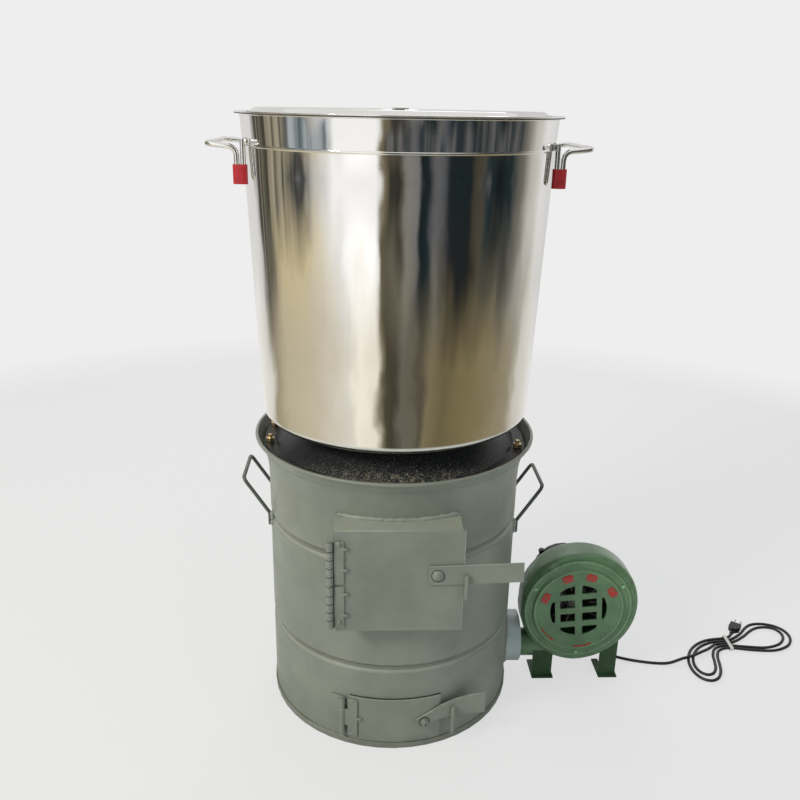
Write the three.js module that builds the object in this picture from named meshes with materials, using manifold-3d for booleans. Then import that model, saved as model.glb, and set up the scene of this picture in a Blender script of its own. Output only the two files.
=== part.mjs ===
// A drum-shaped coal stove with a fuel door, an ash door and a loose blower, and a tall pot standing on it.
// Millimetres, +Z up. The doors face -Y and the blower stands on the +X side.
// The origin is the centre of the stove's floor pan, on the ground.

import * as THREE from 'three';
import { mergeVertices } from 'three/addons/utils/BufferGeometryUtils.js';
import Module from 'manifold-3d';

const wasm = await Module();
wasm.setup();

// Driving dimensions

const clearance = 0.3; // gap left between two pieces that touch
const overrun = 5; // how far a cutting solid runs past the piece that it cuts
const weldTolerance = 0.0001;

const drum = {
  radius: 225,
  sheet: 2,
  top: 480,
  lowerGroove: 165,
  upperGroove: 369,
  grooveDepth: 3.5,
  grooveHalfHeight: 9,
};

const pan = {
  sheet: 1.7,
  rimHeight: 13,
};

const collar = {
  height: 41, // from the drum's top edge to the rim
  spread: 20, // how much wider the rim's inside is than the drum
  sheet: 2.2,
  bead: 1.5, // thickness added by the rolled rim
  ledgeHeight: 20, // ledge that carries the cast ring, above the drum's top edge
  ledgeWidth: 21,
};

const castRing = {
  flangeThickness: 6.5,
  flangeWidth: 18,
  sideGap: 1.6, // between the flange and the collar's wall
  mouthRadius: 156,
  lipWidth: 12,
  domeRise: 36, // from the flange up to the mouth
  wall: 7,
  restCount: 6,
  restRise: 16.4, // pot rests above the mouth
  restWidth: 16,
};

const ringBolt = {
  azimuths: [-80, 73, -100, 107],
  shank: 4,
  hole: 4.7,
  headRadius: 6.2,
  headHeight: 4.6,
  nutRadius: 7.6,
  nutHeight: 6.5,
  stub: 6,
};

const lining = {
  outerGap: 0.6, // to the drum's grooves
  topGap: 14, // below the collar's ledge
  chamberWall: 68.9, // thickness round the fire
  ledgeWidth: 16,
  ashPitWall: 46.9, // thickness round the ash pit
  ashPitHeight: 140,
  tunnelInset: 4, // how much smaller a tunnel is than the opening in the drum
};

const grate = {
  height: 190,
  thickness: 12,
  rimWidth: 14,
  slotWidth: 13,
  barWidth: 11,
};

const chute = {
  halfWidth: 100,
  floor: 270,
  height: 178,
  reach: 33, // beyond the drum's wall
  sheet: 2.6,
};

const fuelDoor = {
  sheet: 3,
  overhang: 3.5, // past the chute's latch side
  hingeGap: 0.5, // from the chute's hinge side to the door's edge
  lift: 1.2, // above the chute's roof and below its floor
};

const fuelHinge = {
  length: 75,
  barrelRadius: 5.6,
  pinRadius: 2.4,
  leafSheet: 2.4,
  leafWidth: 22.5,
  sideLeafWidth: 28,
  sideDistance: 8, // from the barrel's axis to the chute's side wall
  lowerFloor: 7, // above the chute's floor
  spacing: 79,
};

const fuelLatch = {
  length: 150,
  width: 34,
  thickness: 3,
  pivotFromEnd: 14,
  pivotFromHinge: 170,
  pivotAboveFloor: 101,
  tilt: 2.1, // degrees, the free end higher
};

const fuelRivet = {
  shank: 4,
  headRadius: 10,
  headRise: 5,
  tailRise: 2.5,
};

const keeper = {
  rod: 3.4,
  latchGap: 1.4, // between the latch and the upright
  uprightBelow: 21, // below the rod that carries the latch
  uprightAbove: 22,
  wallLength: 10, // weld length along the chute's side
  stepLength: 10,
};

const ashDoor = {
  floor: 16,
  height: 88,
  leftAzimuth: -20.3,
  rightAzimuth: 20.5,
  sheet: 2.8,
  frameWidth: 9, // overlap of the door on the drum round the opening
};

const ashHinge = {
  length: 76,
  floor: 6, // above the door's lower edge
  barrelRadius: 5.2,
  pinRadius: 2.2,
  leafSheet: 2.4,
  leafStart: 10.5,
  leafEnd: 28,
  wallLeafEnd: 24,
  axisAzimuth: -23.3,
  wallLeafAzimuth: -27,
  doorLeafAzimuth: -18.5,
};

const ashLatch = {
  azimuth: 12.7,
  height: 58,
  reach: 112,
  tail: 15,
  width: 40,
  thickness: 3,
};

const ashBolt = {
  shank: 3,
  hexRadius: 6.5,
  hexHeight: 5,
  stub: 3,
  washerRadius: 8.5,
  washerThickness: 1.4,
};

const ashKeeper = {
  rod: 3.6,
  fromPivot: 51,
  uprightBelow: 26,
  uprightAbove: 27,
  latchGap: 1.4,
};

const drumHandle = {
  rod: 3.4,
  halfWidth: 52,
  reach: 42, // grip beyond the drum's wall
  rise: 68, // grip above the feet
  footLength: 22,
  bend: 9,
  leftHeight: 373,
  rightHeight: 356,
};

const airPipe = {
  radius: 49.5,
  wall: 2.6,
  reach: 26, // beyond the drum's wall
  inner: 62, // into the stove
};

const blower = {
  axisHeight: 160,
  halfDepth: 31,
  scrollLeft: 106,
  scrollBottom: 123,
  shoulder: 13, // how much the casing is rounded off at its front and back
  wall: 3,
  outletRadius: 27,
  outletWall: 2.5,
  outletLength: 125, // from the fan's axis to the outlet's end
  outletInsertion: 19, // inside the stove's air pipe
};

const cover = {
  radius: 103,
  sheet: 3,
  discRadius: 89,
  discRise: 4.5,
  grilleRadius: 55,
  grilleTilt: -5, // degrees, against the clock seen from the front
  centreBar: 13.6,
  sideBar: 9.8,
  crossBar: 12.1,
  outerCrossBar: 12,
  columnWidth: 28.4,
  rowHeight: 17.6,
  inset: 1.6, // the casing's seat round the cover
};

const coverScrew = {
  circle: 96,
  angles: [31, 152, 272],
  headRadius: 3.6,
  headRise: 2.2,
  shank: 1.8,
  hole: 2.1,
  length: 8,
};

const impeller = {
  radius: 74,
  hubRadius: 14,
  hubLength: 30,
  plate: 2,
  bladeCount: 10,
  bladeSheet: 2,
  bladeHeight: 34,
  bladeInner: 28,
  wallGap: 5, // from the casing's back wall
};

const shaft = {
  radius: 5,
  fit: 0.4,
};

const motor = {
  radius: 62,
  length: 74,
  finCount: 18,
  finDepth: 6,
  pocket: 4, // the shaft's bore past the motor's front face
  mouthRadius: 40, // hole in the casing's back, behind the impeller
};

const motorCap = {
  radius: 60,
  depth: 16,
  edge: 5,
  earAngles: [46, 136, 226, 316],
  earCircle: 61,
  earRadius: 7,
};

const foot = {
  sheet: 3.2,
  leftFrom: -78,
  leftTo: -39,
  rightFrom: 55,
  rightTo: 89,
  frontInset: 4, // behind the casing's front
  depth: 50,
  toe: 6, // the foot's flare at the ground
  slotWidth: 8,
  slotLength: 14,
};

const gland = {
  angle: -58, // degrees below the horizontal, on the motor's side
  fromBack: 47,
  nutRadius: 10.5,
  nutLength: 5,
  rootRadius: 7,
  tipRadius: 4.4,
  length: 26, // from the motor's side to the tip
};

const cord = {
  radius: 3,
  sides: 8,
};

const hank = {
  tiePlace: [717, 59],
  axisAngle: 31,
  leftReach: 135,
  rightReach: 150,
  reachStep: 10.5, // how much shorter each earlier turn is
  waist: 18.6, // half-width of the last turn at the tie
  waistStep: 8.2,
  leftSwell: 68,
  rightSwell: 75,
  leftStep: 15.5,
  rightStep: 22,
  leftBow: 147, // sag of a lobe's middle line at the lobe's tip
  rightBow: 68,
  skew: 84, // how far the middle line would run off the axis by a lobe's tip
  turns: 2,
  tailSteps: 3,
  tailStep: 9,
  tailTurn: 14,
};

const tie = {
  length: 7,
  sheet: 0.8,
  slack: 1.5,
};

const plug = {
  length: 26,
  width: 22,
  shoulder: 8,
  thickness: 12,
  neck: 10,
  neckRadius: 4,
  pinRadius: 2,
  pinLength: 18,
  pinSpacing: 12,
  pinSeat: 4, // how deep a pin sits in the plug
};

const pot = {
  bottomRadius: 231,
  topRadius: 250,
  height: 492,
  sheet: 1.4,
  corner: 15,
  beadDrop: 46, // bead below the rim
  beadRise: 2.2,
  beadHalfHeight: 4,
  rimRoll: 3,
};

const lid = {
  overhang: 7,
  sheet: 1.4,
  plateauRadius: 237,
  plateauRise: 8,
  skirtDepth: 9,
  skirtGap: 2.5, // from the skirt to the pot's inner wall
  recessRadius: 58,
  recessDepth: 15,
};

const lidHandle = {
  width: 22,
  sheet: 2.6,
  footLength: 11,
};

const potHandle = {
  rod: 4.2,
  halfWidth: 90,
  reach: 47, // grip beyond the wall
  drop: 44, // grip below the rim
  weldRise: 7, // the weld above the grip
  hairpinDepth: 52, // from the grip down to the hairpin's bottom
  hairpinGap: 1,
  bend: 13,
};

const sleeve = {
  length: 29,
  sheet: 1.6,
};

// Outline shares: along the blade's reach and across its width, measured from the pivot
const bladeBottomShares = [[0.07, -0.19], [0.25, 0], [0.7, 0], [1, -0.08]];
const bladeTopShares = [[1, 0.98], [0.73, 0.97], [0.5, 0.89], [0.28, 0.7]];
const bladeTailShares = [-0.16, 0.12];

// A rolled groove's outline: across its half height, and of its depth
const grooveShares = [[-1, 0], [-0.35, 1], [0.35, 1], [1, 0]];

// A hinge's end knuckles along its length, and its pin heads against the barrel and the pin
const hingeKnuckleShare = 0.28;
const hingeHeadShare = 0.65;
const hingeHeadRiseShare = 0.5;

// The fuel latch's rivet: its dome's shoulder across and up, and its tail's two radii against the shank
const rivetDomeShares = [0.55, 0.8];
const rivetTailShares = [1.6, 1.2];

// The casing's rounding: places along its half depth, and how much of the shoulder is taken off there
const scrollLevelShares = [[-1, 1], [-0.8, 0.38], [-0.45, 0.06], [0.45, 0.06], [0.8, 0.38], [1, 1]];

const footCutShare = 0.7; // height of the casing above which a foot ends
const finSlantShare = 0.1; // how much a fin's flank leans

// Shares of the hank's shape: how softly its lobes open at the tie, and how its bow grows along a lobe
const lobeSoftShare = 0.15;
const lobePowerShare = 1.6;
const hankLeadShare = 0.03; // how much of a turn the cord lies in the hank before it first reaches the tie

// How far the outlet sits forward and down in the air pipe, as shares of the play round it
const outletForwardShare = 0.41;
const outletDropShare = 0.51;

// Facets

const drumSides = 48;
const pipeSides = 24;
const blowerSides = 28;
const rodSides = 8;
const bendSteps = 3;
const hankSides = 6;
const hankStepsPerTurn = 24;
const gapSamples = 6;
const nearSteps = 3; // stretches this close along the cord aren't measured against each other

// Places worked out from the driving dimensions

const shellFloor = pan.sheet + clearance;
const panRadius = drum.radius + clearance + pan.sheet;
const innerRadius = drum.radius - drum.sheet;
const collarFloor = drum.top + clearance;
const rimHeight = drum.top + collar.height;
const ledgeTop = drum.top + collar.ledgeHeight;
const ledgeWallRadius = innerRadius + collar.spread * collar.ledgeHeight / collar.height;
const ledgeInnerRadius = ledgeWallRadius - collar.ledgeWidth;
const flangeFloor = ledgeTop + clearance;
const flangeTop = flangeFloor + castRing.flangeThickness;
const flangeRadius = ledgeWallRadius - castRing.sideGap;
const domeFootRadius = flangeRadius - castRing.flangeWidth;
const mouthTop = flangeTop + castRing.domeRise;
const restTop = mouthTop + castRing.restRise;
const boltCircle = flangeRadius - castRing.flangeWidth / 2;
const liningTop = ledgeTop - collar.sheet - lining.topGap;
const liningOuter = innerRadius - drum.grooveDepth - lining.outerGap;
const chamberRadius = liningOuter - lining.chamberWall;
const chuteFront = -(drum.radius + chute.reach);
const chuteRoof = chute.floor + chute.height;
const doorBack = chuteFront - clearance;
const doorFront = doorBack - fuelDoor.sheet;
const outletHeight = blower.axisHeight - blower.scrollBottom + blower.outletRadius;
const pipePlay = airPipe.radius - airPipe.wall - blower.outletRadius;
const pipeHeight = outletHeight + pipePlay * outletDropShare;
const blowerForward = pipePlay * outletForwardShare;
const pipeEnd = drum.radius + airPipe.reach;
const blowerX = pipeEnd - blower.outletInsertion + blower.outletLength;
const potFloor = restTop + clearance;
const potRim = potFloor + pot.height;

// Materials

function finish(color, roughness, metalness) {
  return new THREE.MeshStandardMaterial({ color, roughness, metalness });
}

const greyPaint = finish(0x7c8278, 0.45, 0.2);
const blackIron = finish(0x15171a, 0.3, 0.5);
const zincBrass = finish(0xb98f56, 0.35, 0.8);
const fireClay = finish(0x9a8468, 0.95, 0);
const greenPaint = finish(0x4f7a58, 0.3, 0.2);
const blackMotor = finish(0x1f2422, 0.5, 0.3);
const brightSteel = finish(0xb9bcc0, 0.3, 0.9);
const blackRubber = finish(0x0d0d0e, 0.55, 0);
const whiteTie = finish(0xe8e8e4, 0.6, 0);
const stainless = finish(0xd6d3cc, 0.12, 1);
const redPlastic = finish(0xa3202a, 0.4, 0);
const fanSteel = finish(0x6c7073, 0.5, 0.7);

// Geometry helpers

function degrees(angle) {
  return THREE.MathUtils.degToRad(angle);
}

function asSolid(geometry) {
  const bare = geometry.clone();
  bare.deleteAttribute('normal');
  bare.deleteAttribute('uv');
  const merged = mergeVertices(bare, weldTolerance);
  const corners = merged.index.array;
  const kept = [];
  for (let i = 0; i < corners.length; i += 3) {
    const [a, b, c] = [corners[i], corners[i + 1], corners[i + 2]];
    if (a !== b && b !== c && c !== a) {
      kept.push(a, b, c);
    }
  }
  const vertProperties = new Float32Array(merged.attributes.position.array);
  const mesh = new wasm.Mesh({ numProp: 3, vertProperties, triVerts: new Uint32Array(kept) });
  return new wasm.Manifold(mesh);
}

function asGeometry(solid) {
  const mesh = solid.getMesh();
  const geometry = new THREE.BufferGeometry();
  geometry.setAttribute('position', new THREE.BufferAttribute(new Float32Array(mesh.vertProperties), 3));
  geometry.setIndex(Array.from(mesh.triVerts));
  geometry.computeVertexNormals();
  return geometry;
}

function join(geometries) {
  return asGeometry(geometries.map(asSolid).reduce((sum, solid) => sum.add(solid)));
}

function cut(geometry, tools) {
  return asGeometry(tools.map(asSolid).reduce((rest, tool) => rest.subtract(tool), asSolid(geometry)));
}

function common(first, second) {
  return asGeometry(asSolid(first).intersect(asSolid(second)));
}

function boxBetween(low, high) {
  const size = high.map((value, axis) => value - low[axis]);
  const box = new THREE.BoxGeometry(size[0], size[1], size[2]);
  return box.translate((low[0] + high[0]) / 2, (low[1] + high[1]) / 2, (low[2] + high[2]) / 2);
}

// A cylinder on one axis, between two places along it
function cylinderZ(radius, from, to, sides = pipeSides) {
  const cylinder = new THREE.CylinderGeometry(radius, radius, to - from, sides);
  return cylinder.rotateX(Math.PI / 2).translate(0, 0, (from + to) / 2);
}

function cylinderX(radius, from, to, sides = pipeSides) {
  const cylinder = new THREE.CylinderGeometry(radius, radius, to - from, sides);
  return cylinder.rotateZ(Math.PI / 2).translate((from + to) / 2, 0, 0);
}

function cylinderY(radius, from, to, sides = pipeSides) {
  const cylinder = new THREE.CylinderGeometry(radius, radius, to - from, sides);
  return cylinder.translate(0, (from + to) / 2, 0);
}

// A ring or disc from a profile of [radius, height] pairs, anticlockwise; it closes on itself
function turned(profile, sides = drumSides) {
  const points = [...profile, profile[0]].map(([r, z]) => new THREE.Vector2(r, z));
  return new THREE.LatheGeometry(points, sides).rotateX(Math.PI / 2);
}

function plate(outline, thickness) {
  const shape = new THREE.Shape(outline.map(([x, y]) => new THREE.Vector2(x, y)));
  return new THREE.ExtrudeGeometry(shape, { depth: thickness, bevelEnabled: false });
}

// A path through listed points, whose sections stand exactly at those points
class PointPath extends THREE.Curve {
  constructor(points) {
    super();
    this.points = points;
  }

  getPoint(t, target = new THREE.Vector3()) {
    const last = this.points.length - 1;
    const place = Math.min(Math.max(t, 0), 1) * last;
    const index = Math.min(Math.floor(place), last - 1);
    return target.lerpVectors(this.points[index], this.points[index + 1], place - index);
  }

  getPointAt(t, target) {
    return this.getPoint(t, target);
  }

  getSpacedPoints() {
    return this.points;
  }

  getTangentAt(t, target = new THREE.Vector3()) {
    const last = this.points.length - 1;
    const index = Math.round(t * last);
    const before = this.points[Math.max(index - 1, 0)];
    const after = this.points[Math.min(index + 1, last)];
    const here = this.points[index];
    const coming = index > 0 ? here.clone().sub(before).normalize() : new THREE.Vector3();
    const going = index < last ? after.clone().sub(here).normalize() : new THREE.Vector3();
    return target.copy(coming.add(going)).normalize();
  }
}

function rod(points, radius, sides = rodSides) {
  const section = new THREE.Shape();
  section.absarc(0, 0, radius, 0, 2 * Math.PI, false);
  const path = new PointPath(points);
  const steps = points.length - 1;
  const options = { steps, extrudePath: path, bevelEnabled: false, curveSegments: sides / 2 };
  const tube = new THREE.ExtrudeGeometry(section, options);
  return asGeometry(asSolid(tube));
}

// Replaces each inner corner of a polyline by an arc of its own bend radius
function rounded(corners, bends, steps = bendSteps) {
  const points = [corners[0]];
  for (let i = 1; i < corners.length - 1; i += 1) {
    const bend = bends[i - 1];
    const toBefore = corners[i - 1].clone().sub(corners[i]);
    const toAfter = corners[i + 1].clone().sub(corners[i]);
    const halfAngle = toBefore.angleTo(toAfter) / 2;
    const setback = bend / Math.tan(halfAngle);
    toBefore.normalize();
    toAfter.normalize();
    const middle = toBefore.clone().add(toAfter).normalize();
    const centre = corners[i].clone().addScaledVector(middle, bend / Math.sin(halfAngle));
    const start = corners[i].clone().addScaledVector(toBefore, setback).sub(centre);
    const axis = start.clone().cross(toBefore).normalize().negate();
    const sweep = Math.PI - 2 * halfAngle;
    const turn = start.clone().applyAxisAngle(axis, sweep);
    const wanted = corners[i].clone().addScaledVector(toAfter, setback).sub(centre);
    const sign = turn.distanceTo(wanted) < bend / 2 ? 1 : -1;
    for (let step = 0; step <= steps; step += 1) {
      points.push(start.clone().applyAxisAngle(axis, sign * sweep * step / steps).add(centre));
    }
  }
  points.push(corners[corners.length - 1]);
  return points;
}

// A closed body through rings of points that all have the same count
function loft(rings) {
  const count = rings[0].length;
  const positions = [];
  const index = [];
  for (const ring of rings) {
    for (const point of ring) {
      positions.push(point.x, point.y, point.z);
    }
  }
  for (let level = 0; level < rings.length - 1; level += 1) {
    for (let i = 0; i < count; i += 1) {
      const a = level * count + i;
      const b = level * count + (i + 1) % count;
      index.push(a, b, b + count, a, b + count, a + count);
    }
  }
  for (const [level, flip] of [[0, true], [rings.length - 1, false]]) {
    const centre = rings[level].reduce((sum, p) => sum.add(p), new THREE.Vector3()).divideScalar(count);
    const hub = positions.length / 3;
    positions.push(centre.x, centre.y, centre.z);
    for (let i = 0; i < count; i += 1) {
      const a = level * count + i;
      const b = level * count + (i + 1) % count;
      index.push(...(flip ? [b, a, hub] : [a, b, hub]));
    }
  }
  const geometry = new THREE.BufferGeometry();
  geometry.setAttribute('position', new THREE.Float32BufferAttribute(positions, 3));
  geometry.setIndex(index);
  return geometry;
}

// A place at a distance and azimuth round the drum; azimuth 0 is the front
function around(radius, azimuth, height) {
  const angle = degrees(azimuth);
  return new THREE.Vector3(radius * Math.sin(angle), -radius * Math.cos(angle), height);
}

function place(name, geometry, material, parent, position = new THREE.Vector3()) {
  const mesh = new THREE.Mesh(geometry, material);
  mesh.name = name;
  mesh.position.copy(position);
  parent.add(mesh);
  return mesh;
}

// The drum, its floor pan and its collar

function groovedWall(radius, reverse) {
  const points = [];
  for (const height of [drum.lowerGroove, drum.upperGroove]) {
    for (const [offset, share] of grooveShares) {
      points.push([radius - drum.grooveDepth * share, height + drum.grooveHalfHeight * offset]);
    }
  }
  return reverse ? points.reverse() : points;
}

function fuelOpening(inset) {
  const half = chute.halfWidth - chute.sheet - inset;
  const low = chute.floor + chute.sheet + inset;
  const high = chuteRoof - chute.sheet - inset;
  return boxBetween([-half, -drum.radius - chute.reach - overrun, low], [half, 0, high]);
}

function ashOpening(inset) {
  const left = around(drum.radius, ashDoor.leftAzimuth, 0).x + ashDoor.frameWidth + inset;
  const right = around(drum.radius, ashDoor.rightAzimuth, 0).x - ashDoor.frameWidth - inset;
  const low = ashDoor.floor + ashDoor.frameWidth + inset;
  const high = ashDoor.floor + ashDoor.height - ashDoor.frameWidth - inset;
  return boxBetween([left, -drum.radius - chute.reach, low], [right, 0, high]);
}

function pipeBore(radius) {
  return cylinderX(radius, 0, pipeEnd + overrun).translate(0, 0, pipeHeight);
}

function makeDrumShell() {
  const outer = [[drum.radius, shellFloor], ...groovedWall(drum.radius, false), [drum.radius, drum.top]];
  const inner = [[innerRadius, drum.top], ...groovedWall(innerRadius, true), [innerRadius, shellFloor]];
  const shell = turned([...outer, ...inner]);
  return cut(shell, [fuelOpening(0), ashOpening(0), pipeBore(airPipe.radius + clearance)]);
}

function makeFloorPan() {
  const innerRim = panRadius - pan.sheet;
  const profile = [
    [0, 0],
    [panRadius - pan.sheet, 0],
    [panRadius, pan.sheet],
    [panRadius, pan.rimHeight - pan.sheet / 2],
    [panRadius - pan.sheet / 2, pan.rimHeight],
    [innerRim, pan.rimHeight],
    [innerRim, pan.sheet],
    [0, pan.sheet],
  ];
  return asGeometry(asSolid(turned(profile)));
}

function collarWallRadius(height) {
  return innerRadius + collar.spread * (height - drum.top) / collar.height;
}

function makeCollar() {
  const rimInner = collarWallRadius(rimHeight);
  const beadHeight = collar.sheet + collar.bead;
  const rimOuter = rimInner + collar.sheet;
  const profile = [
    [drum.radius, collarFloor],
    [rimOuter, rimHeight - beadHeight],
    [rimOuter + collar.bead, rimHeight - beadHeight / 2],
    [rimOuter + collar.bead / 2, rimHeight],
    [rimInner, rimHeight],
    [ledgeWallRadius, ledgeTop],
    [ledgeInnerRadius, ledgeTop],
    [ledgeInnerRadius, ledgeTop - collar.sheet],
    [collarWallRadius(ledgeTop - collar.sheet), ledgeTop - collar.sheet],
    [innerRadius, collarFloor],
  ];
  return cut(turned(profile), boltHoles());
}

function boltHoles() {
  return ringBolt.azimuths.map((azimuth) => {
    const spot = around(boltCircle, azimuth, 0);
    const hole = cylinderZ(ringBolt.hole, ledgeTop - collar.sheet - overrun, flangeTop + overrun, rodSides);
    return hole.translate(spot.x, spot.y, 0);
  });
}

function makeCastRing() {
  const lipRadius = castRing.mouthRadius + castRing.lipWidth;
  const profile = [
    [flangeRadius, flangeFloor],
    [flangeRadius, flangeTop],
    [domeFootRadius, flangeTop],
    [lipRadius, mouthTop],
    [castRing.mouthRadius, mouthTop],
    [castRing.mouthRadius, mouthTop - castRing.wall],
    [domeFootRadius - castRing.wall, flangeFloor],
  ];
  const rests = [];
  for (let i = 0; i < castRing.restCount; i += 1) {
    const low = [-castRing.restWidth / 2, -lipRadius, mouthTop - castRing.wall / 2];
    const high = [castRing.restWidth / 2, -castRing.mouthRadius, restTop];
    rests.push(boxBetween(low, high).rotateZ(2 * Math.PI * (i + 0.5) / castRing.restCount));
  }
  return cut(join([turned(profile), ...rests]), boltHoles());
}

function makeRingBolt() {
  const headTop = ledgeTop - collar.sheet - clearance;
  const nutFloor = flangeTop + clearance;
  const nutTop = nutFloor + ringBolt.nutHeight;
  return join([
    cylinderZ(ringBolt.shank, headTop - ringBolt.headHeight, nutTop + ringBolt.stub, rodSides),
    cylinderZ(ringBolt.headRadius, headTop - ringBolt.headHeight, headTop, 6),
    cylinderZ(ringBolt.nutRadius, nutFloor, nutTop, 6),
  ]);
}

// The fire-clay lining and the grate

// A ring of fire clay between two heights
function clayRing(inner, floor, top) {
  return turned([[liningOuter, floor], [liningOuter, top], [inner, top], [inner, floor]], pipeSides);
}

function makeAshLining() {
  const ring = clayRing(liningOuter - lining.ashPitWall, pan.sheet + clearance, lining.ashPitHeight);
  return cut(ring, [ashOpening(lining.tunnelInset), pipeBore(airPipe.radius + clearance)]);
}

// The ring that carries the grate
function makeLedgeRing() {
  return clayRing(chamberRadius - lining.ledgeWidth, lining.ashPitHeight + clearance, grate.height - clearance);
}

function makeFireLining() {
  return cut(clayRing(chamberRadius, grate.height, liningTop), [fuelOpening(lining.tunnelInset)]);
}

function makeGrate() {
  const radius = chamberRadius - 2 * clearance;
  const disc = cylinderZ(radius, grate.height, grate.height + grate.thickness);
  const fieldTop = grate.height + grate.thickness + overrun;
  const field = cylinderZ(radius - grate.rimWidth, grate.height - overrun, fieldTop);
  const pitch = grate.slotWidth + grate.barWidth;
  const sideCount = Math.floor((radius - grate.rimWidth - grate.slotWidth / 2) / pitch);
  const slots = [];
  for (let i = -sideCount; i <= sideCount; i += 1) {
    const middle = i * pitch;
    const low = [-radius, middle - grate.slotWidth / 2, grate.height - overrun];
    const high = [radius, middle + grate.slotWidth / 2, fieldTop];
    slots.push(boxBetween(low, high));
  }
  const spine = boxBetween([-grate.barWidth / 2, -radius, grate.height - overrun],
    [grate.barWidth / 2, radius, fieldTop]);
  return cut(disc, slots.map((slot) => cut(common(slot, field), [spine])));
}

// The fuel chute and its door

function makeChute() {
  const low = [-chute.halfWidth, chuteFront, chute.floor];
  const high = [chute.halfWidth, 0, chuteRoof];
  const wall = cylinderZ(drum.radius + clearance, chute.floor - overrun, chuteRoof + overrun, drumSides);
  return cut(boxBetween(low, high), [fuelOpening(0), wall]);
}

// A butt hinge on the Z axis. Each leaf runs out at its own angle; across is its near face's distance
// from the axis. The fixed side has the two end knuckles, the moving side the middle one.
function makeHinge(size, fixedLeaf, movingLeaf) {
  const endLength = size.length * hingeKnuckleShare;
  const half = clearance / 2;
  const zones = {
    fixed: [[0, endLength - half], [size.length - endLength + half, size.length]],
    moving: [[endLength + half, size.length - endLength - half]],
  };
  const bore = cylinderZ(size.pinRadius + clearance, -overrun, size.length + overrun, 12);
  const side = (leaf, own) => {
    const free = size.barrelRadius + clearance;
    const parts = [];
    for (const [from, to] of own) {
      const strapLow = [0, leaf.across, from];
      const strap = boxBetween(strapLow, [leaf.end, leaf.across + size.leafSheet, to]);
      parts.push(cylinderZ(size.barrelRadius, from, to, 12), strap.rotateZ(degrees(leaf.angle)));
    }
    const bodyLow = [Math.max(leaf.start, free), leaf.across, 0];
    const body = boxBetween(bodyLow, [leaf.end, leaf.across + size.leafSheet, size.length]);
    return cut(join([...parts, body.rotateZ(degrees(leaf.angle))]), [bore]);
  };
  const head = size.barrelRadius * hingeHeadShare;
  const rise = size.pinRadius * hingeHeadRiseShare;
  const pin = join([
    cylinderZ(size.pinRadius, -clearance - rise, size.length + clearance + rise, 12),
    cylinderZ(head, size.length + clearance, size.length + clearance + rise, 12),
    cylinderZ(head, -clearance - rise, -clearance, 12),
  ]);
  return { fixed: side(fixedLeaf, zones.fixed), moving: side(movingLeaf, zones.moving), pin };
}

function addFuelHinges(parent) {
  const axisX = -chute.halfWidth - fuelHinge.sideDistance;
  const axisY = doorFront - fuelHinge.leafSheet;
  const doorLeaf = { angle: 0, start: fuelHinge.sideDistance, end: fuelHinge.leafWidth, across: -clearance };
  const sideLeaf = {
    angle: 90,
    start: fuelHinge.barrelRadius,
    end: fuelHinge.sideLeafWidth,
    across: -fuelHinge.sideDistance + clearance,
  };
  const floors = { lower: chute.floor + fuelHinge.lowerFloor };
  floors.upper = floors.lower + fuelHinge.spacing;
  for (const [level, height] of Object.entries(floors)) {
    const hinge = makeHinge(fuelHinge, sideLeaf, doorLeaf);
    const spot = new THREE.Vector3(axisX, axisY, height);
    place(`fuel_hinge_${level}_frame_leaf`, hinge.fixed, greyPaint, parent, spot);
    place(`fuel_hinge_${level}_door_leaf`, hinge.moving, greyPaint, parent, spot);
    place(`fuel_hinge_${level}_pin`, hinge.pin, greyPaint, parent, spot);
  }
  return new THREE.Vector3(axisX, axisY, 0);
}

function makeFuelDoor(rivetSpot) {
  const low = [-chute.halfWidth + fuelDoor.hingeGap, doorFront, chute.floor - fuelDoor.lift];
  const high = [chute.halfWidth + fuelDoor.overhang, doorBack, chuteRoof + fuelDoor.lift];
  const hole = cylinderY(fuelRivet.shank + clearance, doorFront - overrun, doorBack + overrun, 16);
  return cut(boxBetween(low, high), [hole.translate(rivetSpot.x, 0, rivetSpot.z)]);
}

function makeFuelLatch() {
  const low = [-fuelLatch.pivotFromEnd, -fuelLatch.thickness, -fuelLatch.width / 2];
  const high = [fuelLatch.length - fuelLatch.pivotFromEnd, 0, fuelLatch.width / 2];
  const hole = cylinderY(fuelRivet.shank + clearance, -fuelLatch.thickness - overrun, overrun, 16);
  return cut(boxBetween(low, high), [hole]).rotateY(-degrees(fuelLatch.tilt));
}

// A domed head in front, the shank through latch and door, and a closed tail behind the door
function makeFuelRivet() {
  const front = -fuelLatch.thickness - clearance;
  const back = 2 * clearance + fuelDoor.sheet;
  const profile = [
    [0, front - fuelRivet.headRise],
    [fuelRivet.headRadius * rivetDomeShares[0], front - fuelRivet.headRise * rivetDomeShares[1]],
    [fuelRivet.headRadius, front],
    [fuelRivet.shank, front],
    [fuelRivet.shank, back],
    [fuelRivet.shank * rivetTailShares[0], back],
    [fuelRivet.shank * rivetTailShares[1], back + fuelRivet.tailRise],
    [0, back + fuelRivet.tailRise],
  ];
  const heights = profile.map(([r, y]) => new THREE.Vector2(r, y));
  return asGeometry(asSolid(new THREE.LatheGeometry([...heights, heights[0]], 16)));
}

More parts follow.
